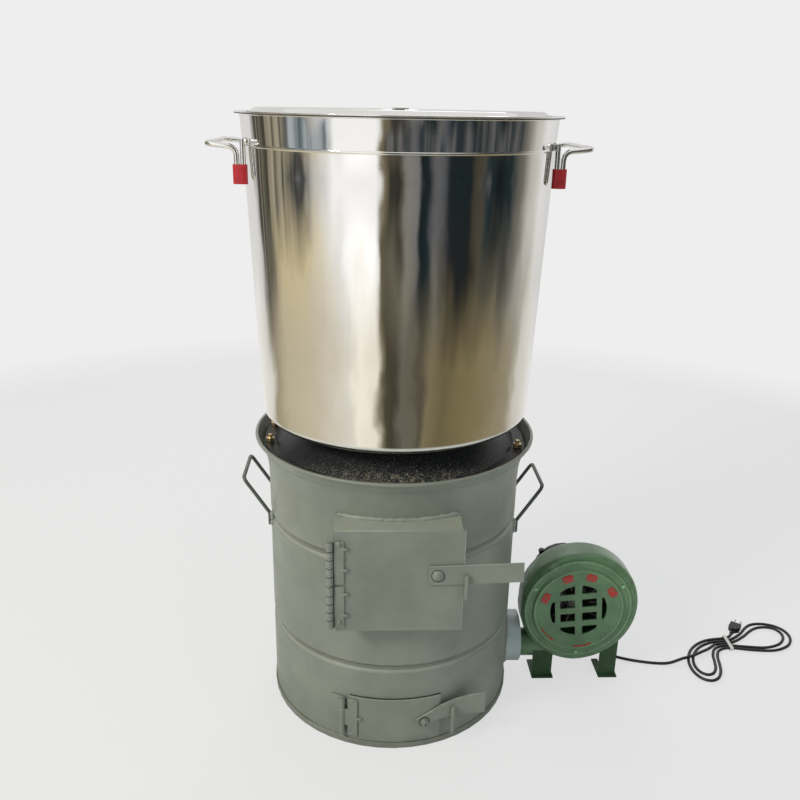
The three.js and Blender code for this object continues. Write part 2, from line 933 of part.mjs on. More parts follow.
// A rod along the chute's side, stepping out past the door's edge, with an upright across its end.
// The latch lies on the rod, behind the upright.
function makeFuelKeeper(latchPivot) {
  const arm = keeper.rod;
  const wallX = chute.halfWidth + clearance + arm;
  const freeX = Math.max(chute.halfWidth + fuelDoor.overhang + clearance + arm, wallX);
  const uprightY = doorFront - clearance - fuelLatch.thickness - keeper.latchGap - arm;
  const alongLatch = (freeX - latchPivot.x) * Math.tan(degrees(fuelLatch.tilt));
  const underside = latchPivot.z + alongLatch - fuelLatch.width / 2 / Math.cos(degrees(fuelLatch.tilt));
  const armZ = underside - clearance - arm - arm * Math.tan(degrees(fuelLatch.tilt));
  const stepEnd = doorBack + overrun;
  const stepStart = stepEnd + keeper.stepLength;
  const armPath = [
    new THREE.Vector3(wallX, stepStart + keeper.wallLength, armZ),
    new THREE.Vector3(wallX, stepStart, armZ),
    new THREE.Vector3(freeX, stepEnd, armZ),
    new THREE.Vector3(freeX, uprightY, armZ),
  ];
  const uprightPath = [
    new THREE.Vector3(freeX, uprightY, armZ - keeper.uprightBelow),
    new THREE.Vector3(freeX, uprightY, armZ + keeper.uprightAbove),
  ];
  return join([rod(armPath, arm), rod(uprightPath, arm)]);
}

// The ash door, curved with the drum

function sector(innerR, outerR, fromAzimuth, toAzimuth, floor, height) {
  const start = -Math.PI / 2 + degrees(fromAzimuth);
  const end = -Math.PI / 2 + degrees(toAzimuth);
  const shape = new THREE.Shape();
  shape.absarc(0, 0, outerR, start, end, false);
  shape.absarc(0, 0, innerR, end, start, true);
  const options = { depth: height, bevelEnabled: false, curveSegments: 6 };
  return new THREE.ExtrudeGeometry(shape, options).translate(0, 0, floor);
}

function makeAshDoor() {
  const innerR = drum.radius + 2 * clearance;
  const door = sector(innerR, innerR + ashDoor.sheet, ashDoor.leftAzimuth, ashDoor.rightAzimuth,
    ashDoor.floor, ashDoor.height);
  return cut(door, [boltBore(ashBolt.shank + clearance)]);
}

// A bore along the latch bolt's radial axis
function boltBore(radius) {
  const bore = cylinderY(radius, -drum.radius - 4 * overrun, -drum.radius + 2 * overrun, 12);
  return bore.translate(0, 0, ashLatch.height).rotateZ(degrees(ashLatch.azimuth));
}

const ashDoorFace = drum.radius + 2 * clearance + ashDoor.sheet;
const ashAxisRadius = ashDoorFace + ashHinge.leafSheet;
const bladeBack = ashDoorFace + clearance;

function addAshHinge(parent) {
  const axis = around(ashAxisRadius, ashHinge.axisAzimuth, ashDoor.floor + ashHinge.floor);
  // How far the barrel's axis stands in front of a plate that lies flat at an azimuth
  const standOff = (azimuth, radius) => {
    const normal = around(1, azimuth, 0);
    return axis.x * normal.x + axis.y * normal.y - radius;
  };
  const onDoor = standOff(ashHinge.doorLeafAzimuth, ashDoorFace + clearance);
  const onWall = standOff(ashHinge.wallLeafAzimuth, drum.radius + clearance);
  const doorLeaf = {
    angle: ashHinge.doorLeafAzimuth,
    start: ashHinge.leafStart,
    end: ashHinge.leafEnd,
    across: onDoor - ashHinge.leafSheet,
  };
  const wallLeaf = {
    angle: ashHinge.wallLeafAzimuth + 180,
    start: ashHinge.barrelRadius,
    end: ashHinge.wallLeafEnd,
    across: -onWall,
  };
  const hinge = makeHinge(ashHinge, wallLeaf, doorLeaf);
  place('ash_hinge_wall_leaf', hinge.fixed, greyPaint, parent, axis);
  place('ash_hinge_door_leaf', hinge.moving, greyPaint, parent, axis);
  place('ash_hinge_pin', hinge.pin, greyPaint, parent, axis);
  return axis;
}

// The latch's outline lies in the plane that touches the drum at the latch's azimuth
function standUp(geometry, nearDistance) {
  const upright = geometry.rotateX(Math.PI / 2).translate(0, -nearDistance, ashLatch.height);
  return upright.rotateZ(degrees(ashLatch.azimuth));
}

function makeAshLatch() {
  const scale = ([along, across]) => [ashLatch.reach * along, ashLatch.width * across];
  const [tailLow, tailHigh] = bladeTailShares;
  const outline = [
    [-ashLatch.tail, ashLatch.width * tailLow],
    ...bladeBottomShares.map(scale),
    ...bladeTopShares.map(scale),
    [-ashLatch.tail, ashLatch.width * tailHigh],
  ];
  const blade = standUp(plate(outline, ashLatch.thickness), bladeBack);
  return cut(blade, [boltBore(ashBolt.shank + clearance)]);
}

function makeAshBolt() {
  const bladeFront = bladeBack + ashLatch.thickness;
  const washerBack = bladeFront + clearance;
  const washerFront = washerBack + ashBolt.washerThickness;
  const nutFront = washerFront + ashBolt.hexHeight;
  const headFront = drum.radius + clearance;
  const headBack = headFront - ashBolt.hexHeight;
  const bolt = join([
    cylinderY(ashBolt.shank, -nutFront - ashBolt.stub, -headBack, 12),
    cylinderY(ashBolt.washerRadius, -washerFront, -washerBack, 12),
    cylinderY(ashBolt.hexRadius, -nutFront, -washerFront + clearance, 6),
    cylinderY(ashBolt.hexRadius, -headFront, -headBack, 6),
  ]);
  return bolt.translate(0, 0, ashLatch.height).rotateZ(degrees(ashLatch.azimuth));
}

function makeAshKeeper() {
  const along = ashKeeper.fromPivot;
  const wallDistance = Math.sqrt((drum.radius + clearance + ashKeeper.rod) ** 2 - along ** 2);
  const uprightDistance = bladeBack + ashLatch.thickness + ashKeeper.latchGap + ashKeeper.rod;
  const armZ = -clearance - ashKeeper.rod;
  const arm = [
    new THREE.Vector3(along, -wallDistance, armZ),
    new THREE.Vector3(along, -uprightDistance, armZ),
  ];
  const upright = [
    new THREE.Vector3(along, -uprightDistance, armZ - ashKeeper.uprightBelow),
    new THREE.Vector3(along, -uprightDistance, armZ + ashKeeper.uprightAbove),
  ];
  const pair = join([rod(arm, ashKeeper.rod), rod(upright, ashKeeper.rod)]);
  return pair.translate(0, 0, ashLatch.height).rotateZ(degrees(ashLatch.azimuth));
}

// A carrying handle on the +X side, whose feet are welded to the drum's wall
function makeDrumHandle() {
  const standOff = drum.radius + clearance + drumHandle.rod;
  const footX = Math.sqrt(standOff ** 2 - drumHandle.halfWidth ** 2);
  const gripX = drum.radius + drumHandle.reach;
  const side = (sign) => [
    new THREE.Vector3(footX, sign * drumHandle.halfWidth, -drumHandle.footLength),
    new THREE.Vector3(footX, sign * drumHandle.halfWidth, 0),
    new THREE.Vector3(gripX, sign * drumHandle.halfWidth, drumHandle.rise),
  ];
  const corners = [...side(-1), ...side(1).reverse()];
  const bends = corners.slice(2).map(() => drumHandle.bend);
  return rod(rounded(corners, bends), drumHandle.rod);
}

function makeAirPipe() {
  const from = drum.radius - airPipe.inner;
  const tube = cylinderX(airPipe.radius, from, pipeEnd);
  return cut(tube, [cylinderX(airPipe.radius - airPipe.wall, from - overrun, pipeEnd + overrun)]);
}

// The blower, on its own axis: the fan's axis is Y, and the front is -Y

// The scroll grows clockwise, seen from the front, from its left to the outlet at its bottom
function scrollRadius(angle) {
  const growth = blower.scrollBottom - blower.scrollLeft;
  const turn = Math.PI * 3 / 2;
  if (angle <= turn) {
    return blower.scrollLeft + growth * Math.sin(angle / turn * Math.PI / 2);
  }
  return blower.scrollBottom - growth * (angle - turn) / (2 * Math.PI - turn);
}

function scrollRing(y, offset) {
  const ring = [];
  const count = blowerSides;
  for (let i = 0; i < count; i += 1) {
    const angle = 2 * Math.PI * i / count;
    const r = scrollRadius(angle) + offset;
    ring.push(new THREE.Vector3(-r * Math.cos(angle), y, r * Math.sin(angle)));
  }
  return ring;
}

function scrollBody(halfDepth, offset) {
  const rings = scrollLevelShares.map(([depth, drop]) => {
    return scrollRing(halfDepth * depth, offset - blower.shoulder * drop);
  });
  return asGeometry(asSolid(loft(rings)));
}

function outletTube(radius, extra) {
  const axisZ = blower.outletRadius - blower.scrollBottom;
  return cylinderX(radius, -blower.outletLength - extra, 0).translate(0, 0, axisZ);
}

function makeVolute() {
  const outer = join([scrollBody(blower.halfDepth, 0), outletTube(blower.outletRadius, 0)]);
  const hollow = join([
    scrollBody(blower.halfDepth - blower.wall, -blower.wall),
    outletTube(blower.outletRadius - blower.outletWall, overrun),
  ]);
  const seatBack = -blower.halfDepth + cover.inset;
  const tools = [
    hollow,
    cylinderY(cover.discRadius, -blower.halfDepth - overrun, 0, blowerSides),
    cylinderY(motor.mouthRadius, 0, blower.halfDepth + overrun, 24),
  ];
  const scroll = cut(outer, tools);
  const rim = cut(
    cylinderY(cover.radius, -blower.halfDepth, seatBack + blower.wall, blowerSides),
    [cylinderY(cover.discRadius, -blower.halfDepth - overrun, 0, blowerSides)],
  );
  const holes = coverScrew.angles.map((angle) => {
    const [x, z] = screwSpot(angle);
    const holeEnd = -blower.halfDepth + coverScrew.length + overrun;
    return cylinderY(coverScrew.hole, -blower.halfDepth - overrun, holeEnd, 8).translate(x, 0, z);
  });
  return cut(join([scroll, rim]), holes);
}

function screwSpot(angle) {
  return [coverScrew.circle * Math.cos(degrees(angle)), coverScrew.circle * Math.sin(degrees(angle))];
}

const coverBack = -blower.halfDepth - clearance;
const coverFront = coverBack - cover.sheet;

// A pressed plate: a flat flange, a raised disc and a barred air inlet
function makeCover() {
  const step = cover.discRise;
  const profile = [
    [0, coverFront - step],
    [0, coverBack - step],
    [cover.discRadius - step - cover.sheet, coverBack - step],
    [cover.discRadius - cover.sheet, coverBack],
    [cover.radius, coverBack],
    [cover.radius, coverFront],
    [cover.discRadius, coverFront],
    [cover.discRadius - step, coverFront - step],
  ];
  const points = [...profile, profile[0]].map(([r, y]) => new THREE.Vector2(r, y));
  const disc = new THREE.LatheGeometry(points.reverse(), blowerSides);
  return cut(disc, [...grilleOpenings(), ...screwHoles()]);
}

function screwHoles() {
  return coverScrew.angles.map((angle) => {
    const [x, z] = screwSpot(angle);
    return cylinderY(coverScrew.hole, coverFront - overrun, coverBack + overrun, 8).translate(x, 0, z);
  });
}

function grilleOpenings() {
  const near = coverFront - cover.discRise - overrun;
  const far = coverBack + overrun;
  const field = cylinderY(cover.grilleRadius, near, far, blowerSides);
  const columnIn = cover.centreBar / 2;
  const columnOut = columnIn + cover.columnWidth;
  const crescentIn = columnOut + cover.sideBar;
  const rowIn = cover.crossBar / 2;
  const rowOut = rowIn + cover.rowHeight;
  const capIn = rowOut + cover.outerCrossBar;
  const reach = cover.grilleRadius + overrun;
  const openings = [];
  for (const side of [-1, 1]) {
    const across = (from, to) => [Math.min(side * from, side * to), Math.max(side * from, side * to)];
    const [left, right] = across(columnIn, columnOut);
    for (const [low, high] of [[rowIn, rowOut], [-rowOut, -rowIn], [capIn, reach], [-reach, -capIn]]) {
      openings.push(boxBetween([left, near, low], [right, far, high]));
    }
    const [outerLeft, outerRight] = across(crescentIn, reach);
    openings.push(boxBetween([outerLeft, near, -rowOut], [outerRight, far, rowOut]));
  }
  return openings.map((opening) => common(opening.rotateY(degrees(cover.grilleTilt)), field));
}

function makeCoverScrew() {
  const seat = coverFront - clearance;
  return join([
    cylinderY(coverScrew.headRadius, seat - coverScrew.headRise, seat, 10),
    cylinderY(coverScrew.shank, seat - coverScrew.headRise / 2, seat + coverScrew.length, 10),
  ]);
}

const impellerBack = blower.halfDepth - blower.wall - impeller.wallGap;
const motorFront = blower.halfDepth + clearance;

function makeImpeller() {
  const plateFront = impellerBack - impeller.plate;
  const parts = [
    cylinderY(impeller.radius, plateFront, impellerBack, 24),
    cylinderY(impeller.hubRadius, impellerBack - impeller.hubLength, impellerBack, 12),
  ];
  for (let i = 0; i < impeller.bladeCount; i += 1) {
    const low = [impeller.bladeInner, impellerBack - impeller.bladeHeight, -impeller.bladeSheet / 2];
    const blade = boxBetween(low, [impeller.radius, impellerBack - impeller.plate / 2, impeller.bladeSheet / 2]);
    parts.push(blade.rotateY(2 * Math.PI * i / impeller.bladeCount));
  }
  const bore = cylinderY(shaft.radius + shaft.fit, -blower.halfDepth, impellerBack + overrun, 16);
  return cut(join(parts), [bore]);
}

function makeShaft() {
  return cylinderY(shaft.radius, impellerBack - impeller.hubLength, motorFront + motor.pocket - clearance, 16);
}

function makeMotor() {
  const outline = [];
  const steps = 4 * motor.finCount;
  for (let i = 0; i < steps; i += 1) {
    const raised = i % 4 < 2; // four points a fin
    const radius = raised ? motor.radius : motor.radius - motor.finDepth;
    const angle = 2 * Math.PI * (i + (i % 2) * finSlantShare) / steps;
    outline.push([radius * Math.cos(angle), radius * Math.sin(angle)]);
  }
  const body = plate(outline, motor.length).rotateX(-Math.PI / 2).translate(0, motorFront, 0);
  return cut(body, [cylinderY(shaft.radius + shaft.fit, motorFront - overrun, motorFront + motor.pocket, 16)]);
}

function makeMotorCap() {
  const floor = motorFront + motor.length + clearance;
  const profile = [
    [0, floor],
    [motorCap.radius, floor],
    [motorCap.radius, floor + motorCap.depth - motorCap.edge],
    [motorCap.radius - motorCap.edge, floor + motorCap.depth],
    [0, floor + motorCap.depth],
  ];
  const points = [...profile, profile[0]].map(([r, y]) => new THREE.Vector2(r, y));
  const ears = motorCap.earAngles.map((angle) => {
    const ear = cylinderY(motorCap.earRadius, floor, floor + motorCap.depth - motorCap.edge, 6);
    return ear.translate(motorCap.earCircle, 0, 0).rotateY(-degrees(angle));
  });
  return join([new THREE.LatheGeometry(points, pipeSides), ...ears]);
}

// A pressed foot: a front web, a side web and a slotted sole, its top cut to the casing
function makeFoot(from, to) {
  const front = -blower.halfDepth + foot.frontInset;
  const back = front + foot.depth;
  const floor = -blower.axisHeight;
  const soleTop = floor + foot.sheet;
  const flare = to + foot.toe / 2;
  const outline = [[from, floor], [flare, floor], [to, floor + 2 * foot.toe], [to, 0], [from, 0]];
  const web = plate(outline, foot.sheet).rotateX(Math.PI / 2).translate(0, front + foot.sheet, 0);
  const side = boxBetween([to - foot.sheet, front, floor], [to, back, 0]);
  const sole = boxBetween([from, front - foot.toe, floor], [flare, back, soleTop]);
  const middle = (from + to) / 2;
  const slotLow = [middle - foot.slotWidth / 2, back - foot.slotLength, floor - overrun];
  const slot = boxBetween(slotLow, [middle + foot.slotWidth / 2, back + overrun, soleTop + overrun]);
  const scroll = scrollBody(blower.halfDepth + clearance, clearance);
  const casing = [scroll, outletTube(blower.outletRadius + clearance, 0)];
  const above = boxBetween([from - foot.toe, front - 2 * foot.toe, -blower.scrollLeft * footCutShare],
    [to + foot.toe, back + overrun, overrun]);
  const blank = cut(join([web, side, sole]), [slot, ...casing, above]);
  return lowestPiece(blank);
}

function lowestPiece(geometry) {
  const pieces = asSolid(geometry).decompose();
  pieces.sort((a, b) => a.boundingBox().min[2] - b.boundingBox().min[2]);
  return asGeometry(pieces[0]);
}

// A hexagon nut and a tapered sleeve that keeps the cord from kinking
function makeGland() {
  const y = motorFront + motor.length - gland.fromBack;
  const from = motor.radius + clearance;
  const taper = new THREE.CylinderGeometry(gland.tipRadius, gland.rootRadius, gland.length, 12);
  taper.rotateZ(-Math.PI / 2).translate(from + gland.length / 2, 0, 0);
  const nut = cylinderX(gland.nutRadius, from, from + gland.nutLength, 6);
  return join([taper, nut]).rotateY(-degrees(gland.angle)).translate(0, y, 0);
}

// The cord: out of the motor's gland, down to the ground, and along it to the hank

const cordRoute = [
  [403.95, 50.1, 84.87],
  [406.8, 50.1, 80.3],
  [410.6, 49.9, 73.4],
  [414.4, 49.3, 65.0],
  [418.0, 48.0, 54.5],
  [421.4, 46.2, 42.5],
  [424.8, 43.8, 30.0],
  [429.0, 40.7, 18.5],
  [435.4, 36.6, 9.3],
  [444.6, 31.4, 4.3],
  [457.0, 25.0, 3.2],
  [475.0, 15.5, 3.2],
  [497.0, 7.5, 3.2],
  [520.0, 1.5, 3.2],
  [540.0, -2.0, 3.2],
  [558.0, -3.6, 3.5],
  [572.0, -3.2, 5.2],
  [585.0, -1.0, 8.2],
  [597.0, 2.0, 10.6],
  [610.0, 6.2, 10.8],
  [624.0, 11.5, 10.8],
  [636.0, 18.0, 10.8],
  [648.0, 26.0, 9.4],
  [659.0, 34.5, 6.6],
  [669.0, 42.5, 4.6],
  [678.0, 49.5, 4.1],
];

// The route ends face to face with the hank's first end
function makeCordRun(path) {
  const heading = path[1].clone().sub(path[0]).normalize();
  const points = cordRoute.map((point) => new THREE.Vector3(...point));
  for (const distance of [2 * cord.radius, clearance]) {
    points.push(path[0].clone().addScaledVector(heading, -distance));
  }
  return rod(points, cord.radius, cord.sides);
}

// The hank is one spiral of long loops, drawn in at the tie. Each turn lies outside the one before. A turn
// starts at the tie, goes round the right lobe and comes back through the tie round the left one.
function hankPoint(turn) {
  const angle = Math.PI / 2 - 2 * Math.PI * turn;
  const along = Math.cos(angle);
  const right = along > 0;
  const left = hank.turns - turn;
  const lobe = Math.hypot(along, lobeSoftShare) - lobeSoftShare;
  const opening = Math.sin(lobe * Math.PI / 2);
  const reach = right ? hank.rightReach : hank.leftReach;
  const bow = right ? hank.rightBow : -hank.leftBow;
  const lobeStep = right ? hank.rightStep : hank.leftStep;
  const swell = right ? hank.rightSwell * opening : hank.leftSwell * lobe ** lobePowerShare;
  const step = hank.waistStep + (lobeStep - hank.waistStep) * opening;
  const u = (reach - hank.reachStep * left) * along;
  const middle = bow * (u / reach) ** 2 - hank.skew * u / reach;
  const slope = (2 * bow * u / reach - hank.skew) / reach;
  const offset = Math.sin(angle) * (hank.waist + swell - left * step);
  const across = offset / Math.hypot(1, slope);
  return new THREE.Vector3(u - slope * across, middle + across, 0);
}

const hankHeight = tie.sheet + clearance + cord.radius;

function hankPath() {
  const steps = Math.round(hankStepsPerTurn * (hank.turns + hankLeadShare));
  const points = [];
  for (let i = 0; i <= steps; i += 1) {
    points.push(hankPoint(-hankLeadShare + (hank.turns + hankLeadShare) * i / steps));
  }
  const tiePoint = new THREE.Vector3(hank.tiePlace[0], hank.tiePlace[1], hankHeight);
  const axis = new THREE.Vector3(0, 0, 1);
  const path = points.map((point) => point.applyAxisAngle(axis, degrees(hank.axisAngle)).add(tiePoint));
  const heading = endHeading(path);
  for (let i = 0; i < hank.tailSteps; i += 1) {
    heading.applyAxisAngle(axis, degrees(hank.tailTurn));
    path.push(path[path.length - 1].clone().addScaledVector(heading, hank.tailStep));
  }
  return path;
}

function endHeading(path) {
  return path[path.length - 1].clone().sub(path[path.length - 2]).normalize();
}

// The least distance between the surfaces of two stretches of a cord that lie three or more steps apart
function leastGap(points, radius) {
  const samples = [];
  for (let i = 0; i < points.length - 1; i += 1) {
    for (let k = 0; k < gapSamples; k += 1) {
      samples.push([i, points[i].clone().lerp(points[i + 1], k / gapSamples)]);
    }
  }
  let least = Infinity;
  for (const [i, first] of samples) {
    for (const [j, second] of samples) {
      if (j - i > nearSteps) {
        least = Math.min(least, first.distanceTo(second));
      }
    }
  }
  return least - 2 * radius;
}

function makeHank(path) {
  console.log(`cord hank: least gap to itself ${leastGap(path, cord.radius).toFixed(2)} mm`);
  return rod(path, cord.radius, hankSides);
}

// A flat band round the hank's waist
function makeTie() {
  const room = cord.radius + clearance;
  const upper = hank.waist + room + tie.slack;
  const lower = -(hank.waist - hank.waistStep / 2) - room - tie.slack;
  const half = tie.length / 2;
  const low = [-half, lower - tie.sheet, -tie.sheet];
  const band = boxBetween(low, [half, upper + tie.sheet, 2 * room + tie.sheet]);
  return cut(band, [boxBetween([-tie.length, lower, 0], [tie.length, upper, 2 * room])]);
}

// The pot that stands on the ring, its lid and its handles

function potWallRadius(height) {
  return pot.bottomRadius + (pot.topRadius - pot.bottomRadius) * (height - potFloor) / pot.height;
}

function potOutline(offset) {
  const beadHeight = potRim - pot.beadDrop;
  const points = [];
  for (let i = 0; i <= bendSteps; i += 1) {
    const angle = Math.PI / 2 * i / bendSteps;
    const spread = (pot.corner - offset) * Math.sin(angle);
    const rise = (pot.corner - offset) * (1 - Math.cos(angle));
    points.push([potWallRadius(potFloor + pot.corner) - pot.corner + spread, potFloor + offset + rise]);
  }
  for (const [height, share] of [[-1, 0], [0, 1], [1, 0]]) {
    const level = beadHeight + height * pot.beadHalfHeight;
    points.push([potWallRadius(level) - offset + pot.beadRise * share, level]);
  }
  return points;
}

function makePot() {
  const rimRadius = potWallRadius(potRim);
  const profile = [
    [0, potFloor],
    ...potOutline(0),
    [potWallRadius(potRim - pot.rimRoll), potRim - pot.rimRoll],
    [rimRadius + pot.rimRoll, potRim - pot.rimRoll / 2],
    [rimRadius + pot.rimRoll / 2, potRim],
    [rimRadius - pot.sheet, potRim],
    ...potOutline(pot.sheet).reverse(),
    [0, potFloor + pot.sheet],
  ];
  return asGeometry(asSolid(turned(profile)));
}

// The lid lies on the pot's rim, with a skirt inside it and a shallow round well for the handle
function makeLid() {
  const floor = potRim + clearance;
  const top = floor + lid.plateauRise;
  const outer = pot.topRadius + pot.rimRoll + lid.overhang;
  const skirt = pot.topRadius - pot.sheet - lid.skirtGap;
  const well = top - lid.recessDepth;
  const profile = [
    [0, well],
    [lid.recessRadius - lid.recessDepth / 2, well],
    [lid.recessRadius, top],
    [lid.plateauRadius - lid.plateauRise, top],
    [lid.plateauRadius, floor + lid.sheet],
    [outer, floor + lid.sheet],
    [outer, floor],
    [skirt, floor],
    [skirt, floor - lid.skirtDepth],
    [skirt - lid.sheet, floor - lid.skirtDepth],
    [skirt - lid.sheet, floor],
    [lid.plateauRadius - lid.sheet / 2, floor],
    [lid.plateauRadius - lid.plateauRise - lid.sheet / 2, top - lid.sheet],
    [lid.recessRadius + lid.sheet, top - lid.sheet],
    [lid.recessRadius - lid.recessDepth / 2 + lid.sheet, well - lid.sheet],
    [0, well - lid.sheet],
  ];
  return asGeometry(asSolid(turned(profile.reverse())));
}

// A strap across the well: its ends lie on the plateau, just outside the well
function makeLidHandle() {
  const floor = potRim + 2 * clearance + lid.plateauRise;
  const reach = lid.recessRadius + 2 * clearance + lidHandle.footLength;
  const half = lidHandle.width / 2;
  return boxBetween([-half, -reach, floor], [half, reach, floor + lidHandle.sheet]);
}

// A bent rod on the +X side: its ends are welded near the rim, run down the wall into a hairpin that a
// sleeve holds, and come up again to the grip. The other handle is turned half a circle.
const hairpinSpacing = 2 * potHandle.rod + potHandle.hairpinGap;
const gripLevel = potRim - potHandle.drop;
const hairpinLevel = gripLevel - potHandle.hairpinDepth;

function innerBranchX() {
  const radius = potWallRadius(potRim - pot.beadDrop) + pot.beadRise + clearance + potHandle.rod;
  return Math.sqrt(radius ** 2 - potHandle.halfWidth ** 2);
}

function makePotHandle() {
  const inner = innerBranchX();
  const outer = inner + hairpinSpacing;
  const gripX = pot.topRadius + potHandle.reach - potHandle.rod;
  const half = potHandle.halfWidth;
  const side = (sign) => [
    new THREE.Vector3(inner, sign * half, gripLevel + potHandle.weldRise),
    new THREE.Vector3(inner, sign * half, hairpinLevel),
    new THREE.Vector3(outer, sign * half, hairpinLevel),
    new THREE.Vector3(outer, sign * half, gripLevel - potHandle.rod),
    new THREE.Vector3(gripX, sign * half, gripLevel),
  ];
  const tight = hairpinSpacing / 2 - clearance / 2;
  const sideBends = [tight, tight, potHandle.bend, potHandle.bend];
  const corners = [...side(-1), ...side(1).reverse()];
  return rod(rounded(corners, [...sideBends, ...sideBends.reverse()]), potHandle.rod);
}

function slotShape(radius) {
  const half = hairpinSpacing / 2;
  const shape = new THREE.Shape();
  shape.absarc(half, 0, radius, -Math.PI / 2, Math.PI / 2, false);
  shape.absarc(-half, 0, radius, Math.PI / 2, Math.PI * 3 / 2, false);
  return shape;
}

// A plastic cap pushed up over a hairpin: an oval cup
function makeSleeve() {
  const bore = potHandle.rod / Math.cos(Math.PI / rodSides) + clearance;
  const options = { bevelEnabled: false, curveSegments: 4 };
  const cup = new THREE.ExtrudeGeometry(slotShape(bore + sleeve.sheet), { depth: sleeve.length, ...options });
  const hollow = new THREE.ExtrudeGeometry(slotShape(bore), { depth: sleeve.length, ...options });
  return cut(cup, [hollow.translate(0, 0, sleeve.sheet)]);
}

// The plug at the cord's end: it lies on its broad side and points towards +X
function makePlug() {
  const bodyStart = plug.neck;
  const bodyEnd = bodyStart + plug.length;
  const shoulder = bodyStart + plug.shoulder;
  const half = plug.width / 2;
  const outline = [
    [bodyStart, -plug.neckRadius],
    [shoulder, -half],
    [bodyEnd, -half],
    [bodyEnd, half],
    [shoulder, half],
    [bodyStart, plug.neckRadius],
  ];
  const body = plate(outline, plug.thickness).translate(0, 0, -hankHeight + clearance);
  const neck = cylinderX(plug.neckRadius, clearance, shoulder, 12);
  return cut(join([body, neck]), [-1, 1].map((side) => pinShape(side, clearance, 0)));
}

function pinShape(side, room, inset) {
  const start = plug.neck + plug.length - plug.pinSeat;
  const pinHeight = clearance - hankHeight + plug.thickness / 2;
  const end = start + inset + plug.pinSeat + plug.pinLength;
  const pin = cylinderX(plug.pinRadius + room, start + inset, end, 12);
  return pin.translate(0, side * plug.pinSpacing / 2, pinHeight);
}

// The whole part

const stove = new THREE.Group();

function addBody() {
  place('floor_pan', makeFloorPan(), greyPaint, stove);
  place('drum_shell', makeDrumShell(), greyPaint, stove);
  place('collar', makeCollar(), greyPaint, stove);
  place('cast_ring', makeCastRing(), blackIron, stove);
  ringBolt.azimuths.forEach((azimuth, i) => {
    place(`ring_bolt_${i + 1}`, makeRingBolt(), zincBrass, stove, around(boltCircle, azimuth, 0));
  });
  place('ash_lining', makeAshLining(), fireClay, stove);
  place('ledge_ring', makeLedgeRing(), fireClay, stove);
  place('fire_lining', makeFireLining(), fireClay, stove);
  place('grate', makeGrate(), blackIron, stove);
  place('air_pipe', makeAirPipe(), greyPaint, stove, new THREE.Vector3(0, 0, pipeHeight));
  const right = place('right_handle', makeDrumHandle(), greyPaint, stove);
  right.position.z = drumHandle.rightHeight;
  const left = place('left_handle', makeDrumHandle(), greyPaint, stove);
  left.position.z = drumHandle.leftHeight;
  left.rotation.z = Math.PI;
}

function addFuelDoor() {
  place('fuel_chute', makeChute(), greyPaint, stove);
  const axis = addFuelHinges(stove);
  const pivot = new THREE.Vector3(
    axis.x + fuelLatch.pivotFromHinge,
    doorFront - clearance,
    chute.floor + fuelLatch.pivotAboveFloor,
  );
  place('fuel_door', makeFuelDoor(pivot), greyPaint, stove);
  place('fuel_latch', makeFuelLatch(), greyPaint, stove, pivot);
  place('fuel_latch_rivet', makeFuelRivet(), greyPaint, stove, pivot);
  place('fuel_keeper', makeFuelKeeper(pivot), greyPaint, stove);
}

function addAshDoor() {
  place('ash_door', makeAshDoor(), greyPaint, stove);
  addAshHinge(stove);
  place('ash_latch', makeAshLatch(), greyPaint, stove);
  place('ash_latch_bolt', makeAshBolt(), greyPaint, stove);
  place('ash_keeper', makeAshKeeper(), greyPaint, stove);
}

function addBlower() {
  const fan = new THREE.Group();
  fan.position.set(blowerX, -blowerForward, blower.axisHeight);
  stove.add(fan);
  place('blower_casing', makeVolute(), greenPaint, fan);
  place('blower_cover', makeCover(), greenPaint, fan);
  coverScrew.angles.forEach((angle, i) => {
    const [x, z] = screwSpot(angle);
    place(`cover_screw_${i + 1}`, makeCoverScrew(), brightSteel, fan, new THREE.Vector3(x, 0, z));
  });
  place('impeller', makeImpeller(), fanSteel, fan);
  place('motor_shaft', makeShaft(), brightSteel, fan);
  place('motor_body', makeMotor(), blackMotor, fan);
  place('motor_cap', makeMotorCap(), blackMotor, fan);
  place('left_foot', makeFoot(foot.leftFrom, foot.leftTo), greenPaint, fan);
  place('right_foot', makeFoot(foot.rightFrom, foot.rightTo), greenPaint, fan);
  place('cable_gland', makeGland(), blackRubber, fan);
}

function addPot() {
  place('pot', makePot(), stainless, stove);
  place('pot_lid', makeLid(), stainless, stove);
  place('lid_handle', makeLidHandle(), stainless, stove);
  const sleeveX = innerBranchX() + hairpinSpacing / 2;
  const sleeveZ = hairpinLevel - potHandle.rod / Math.cos(Math.PI / rodSides) - clearance - sleeve.sheet;
  for (const [name, turn] of [['right', 0], ['left', Math.PI]]) {
    const side = new THREE.Group();
    side.rotation.z = turn;
    stove.add(side);
    place(`pot_${name}_handle`, makePotHandle(), stainless, side);
    for (const [end, sign] of [['front', -1], ['back', 1]]) {
      const spot = new THREE.Vector3(sleeveX, sign * potHandle.halfWidth, sleeveZ);
      const towards = turn === 0 ? end : { front: 'back', back: 'front' }[end];
      place(`pot_${name}_${towards}_sleeve`, makeSleeve(), redPlastic, side, spot);
    }
  }
}

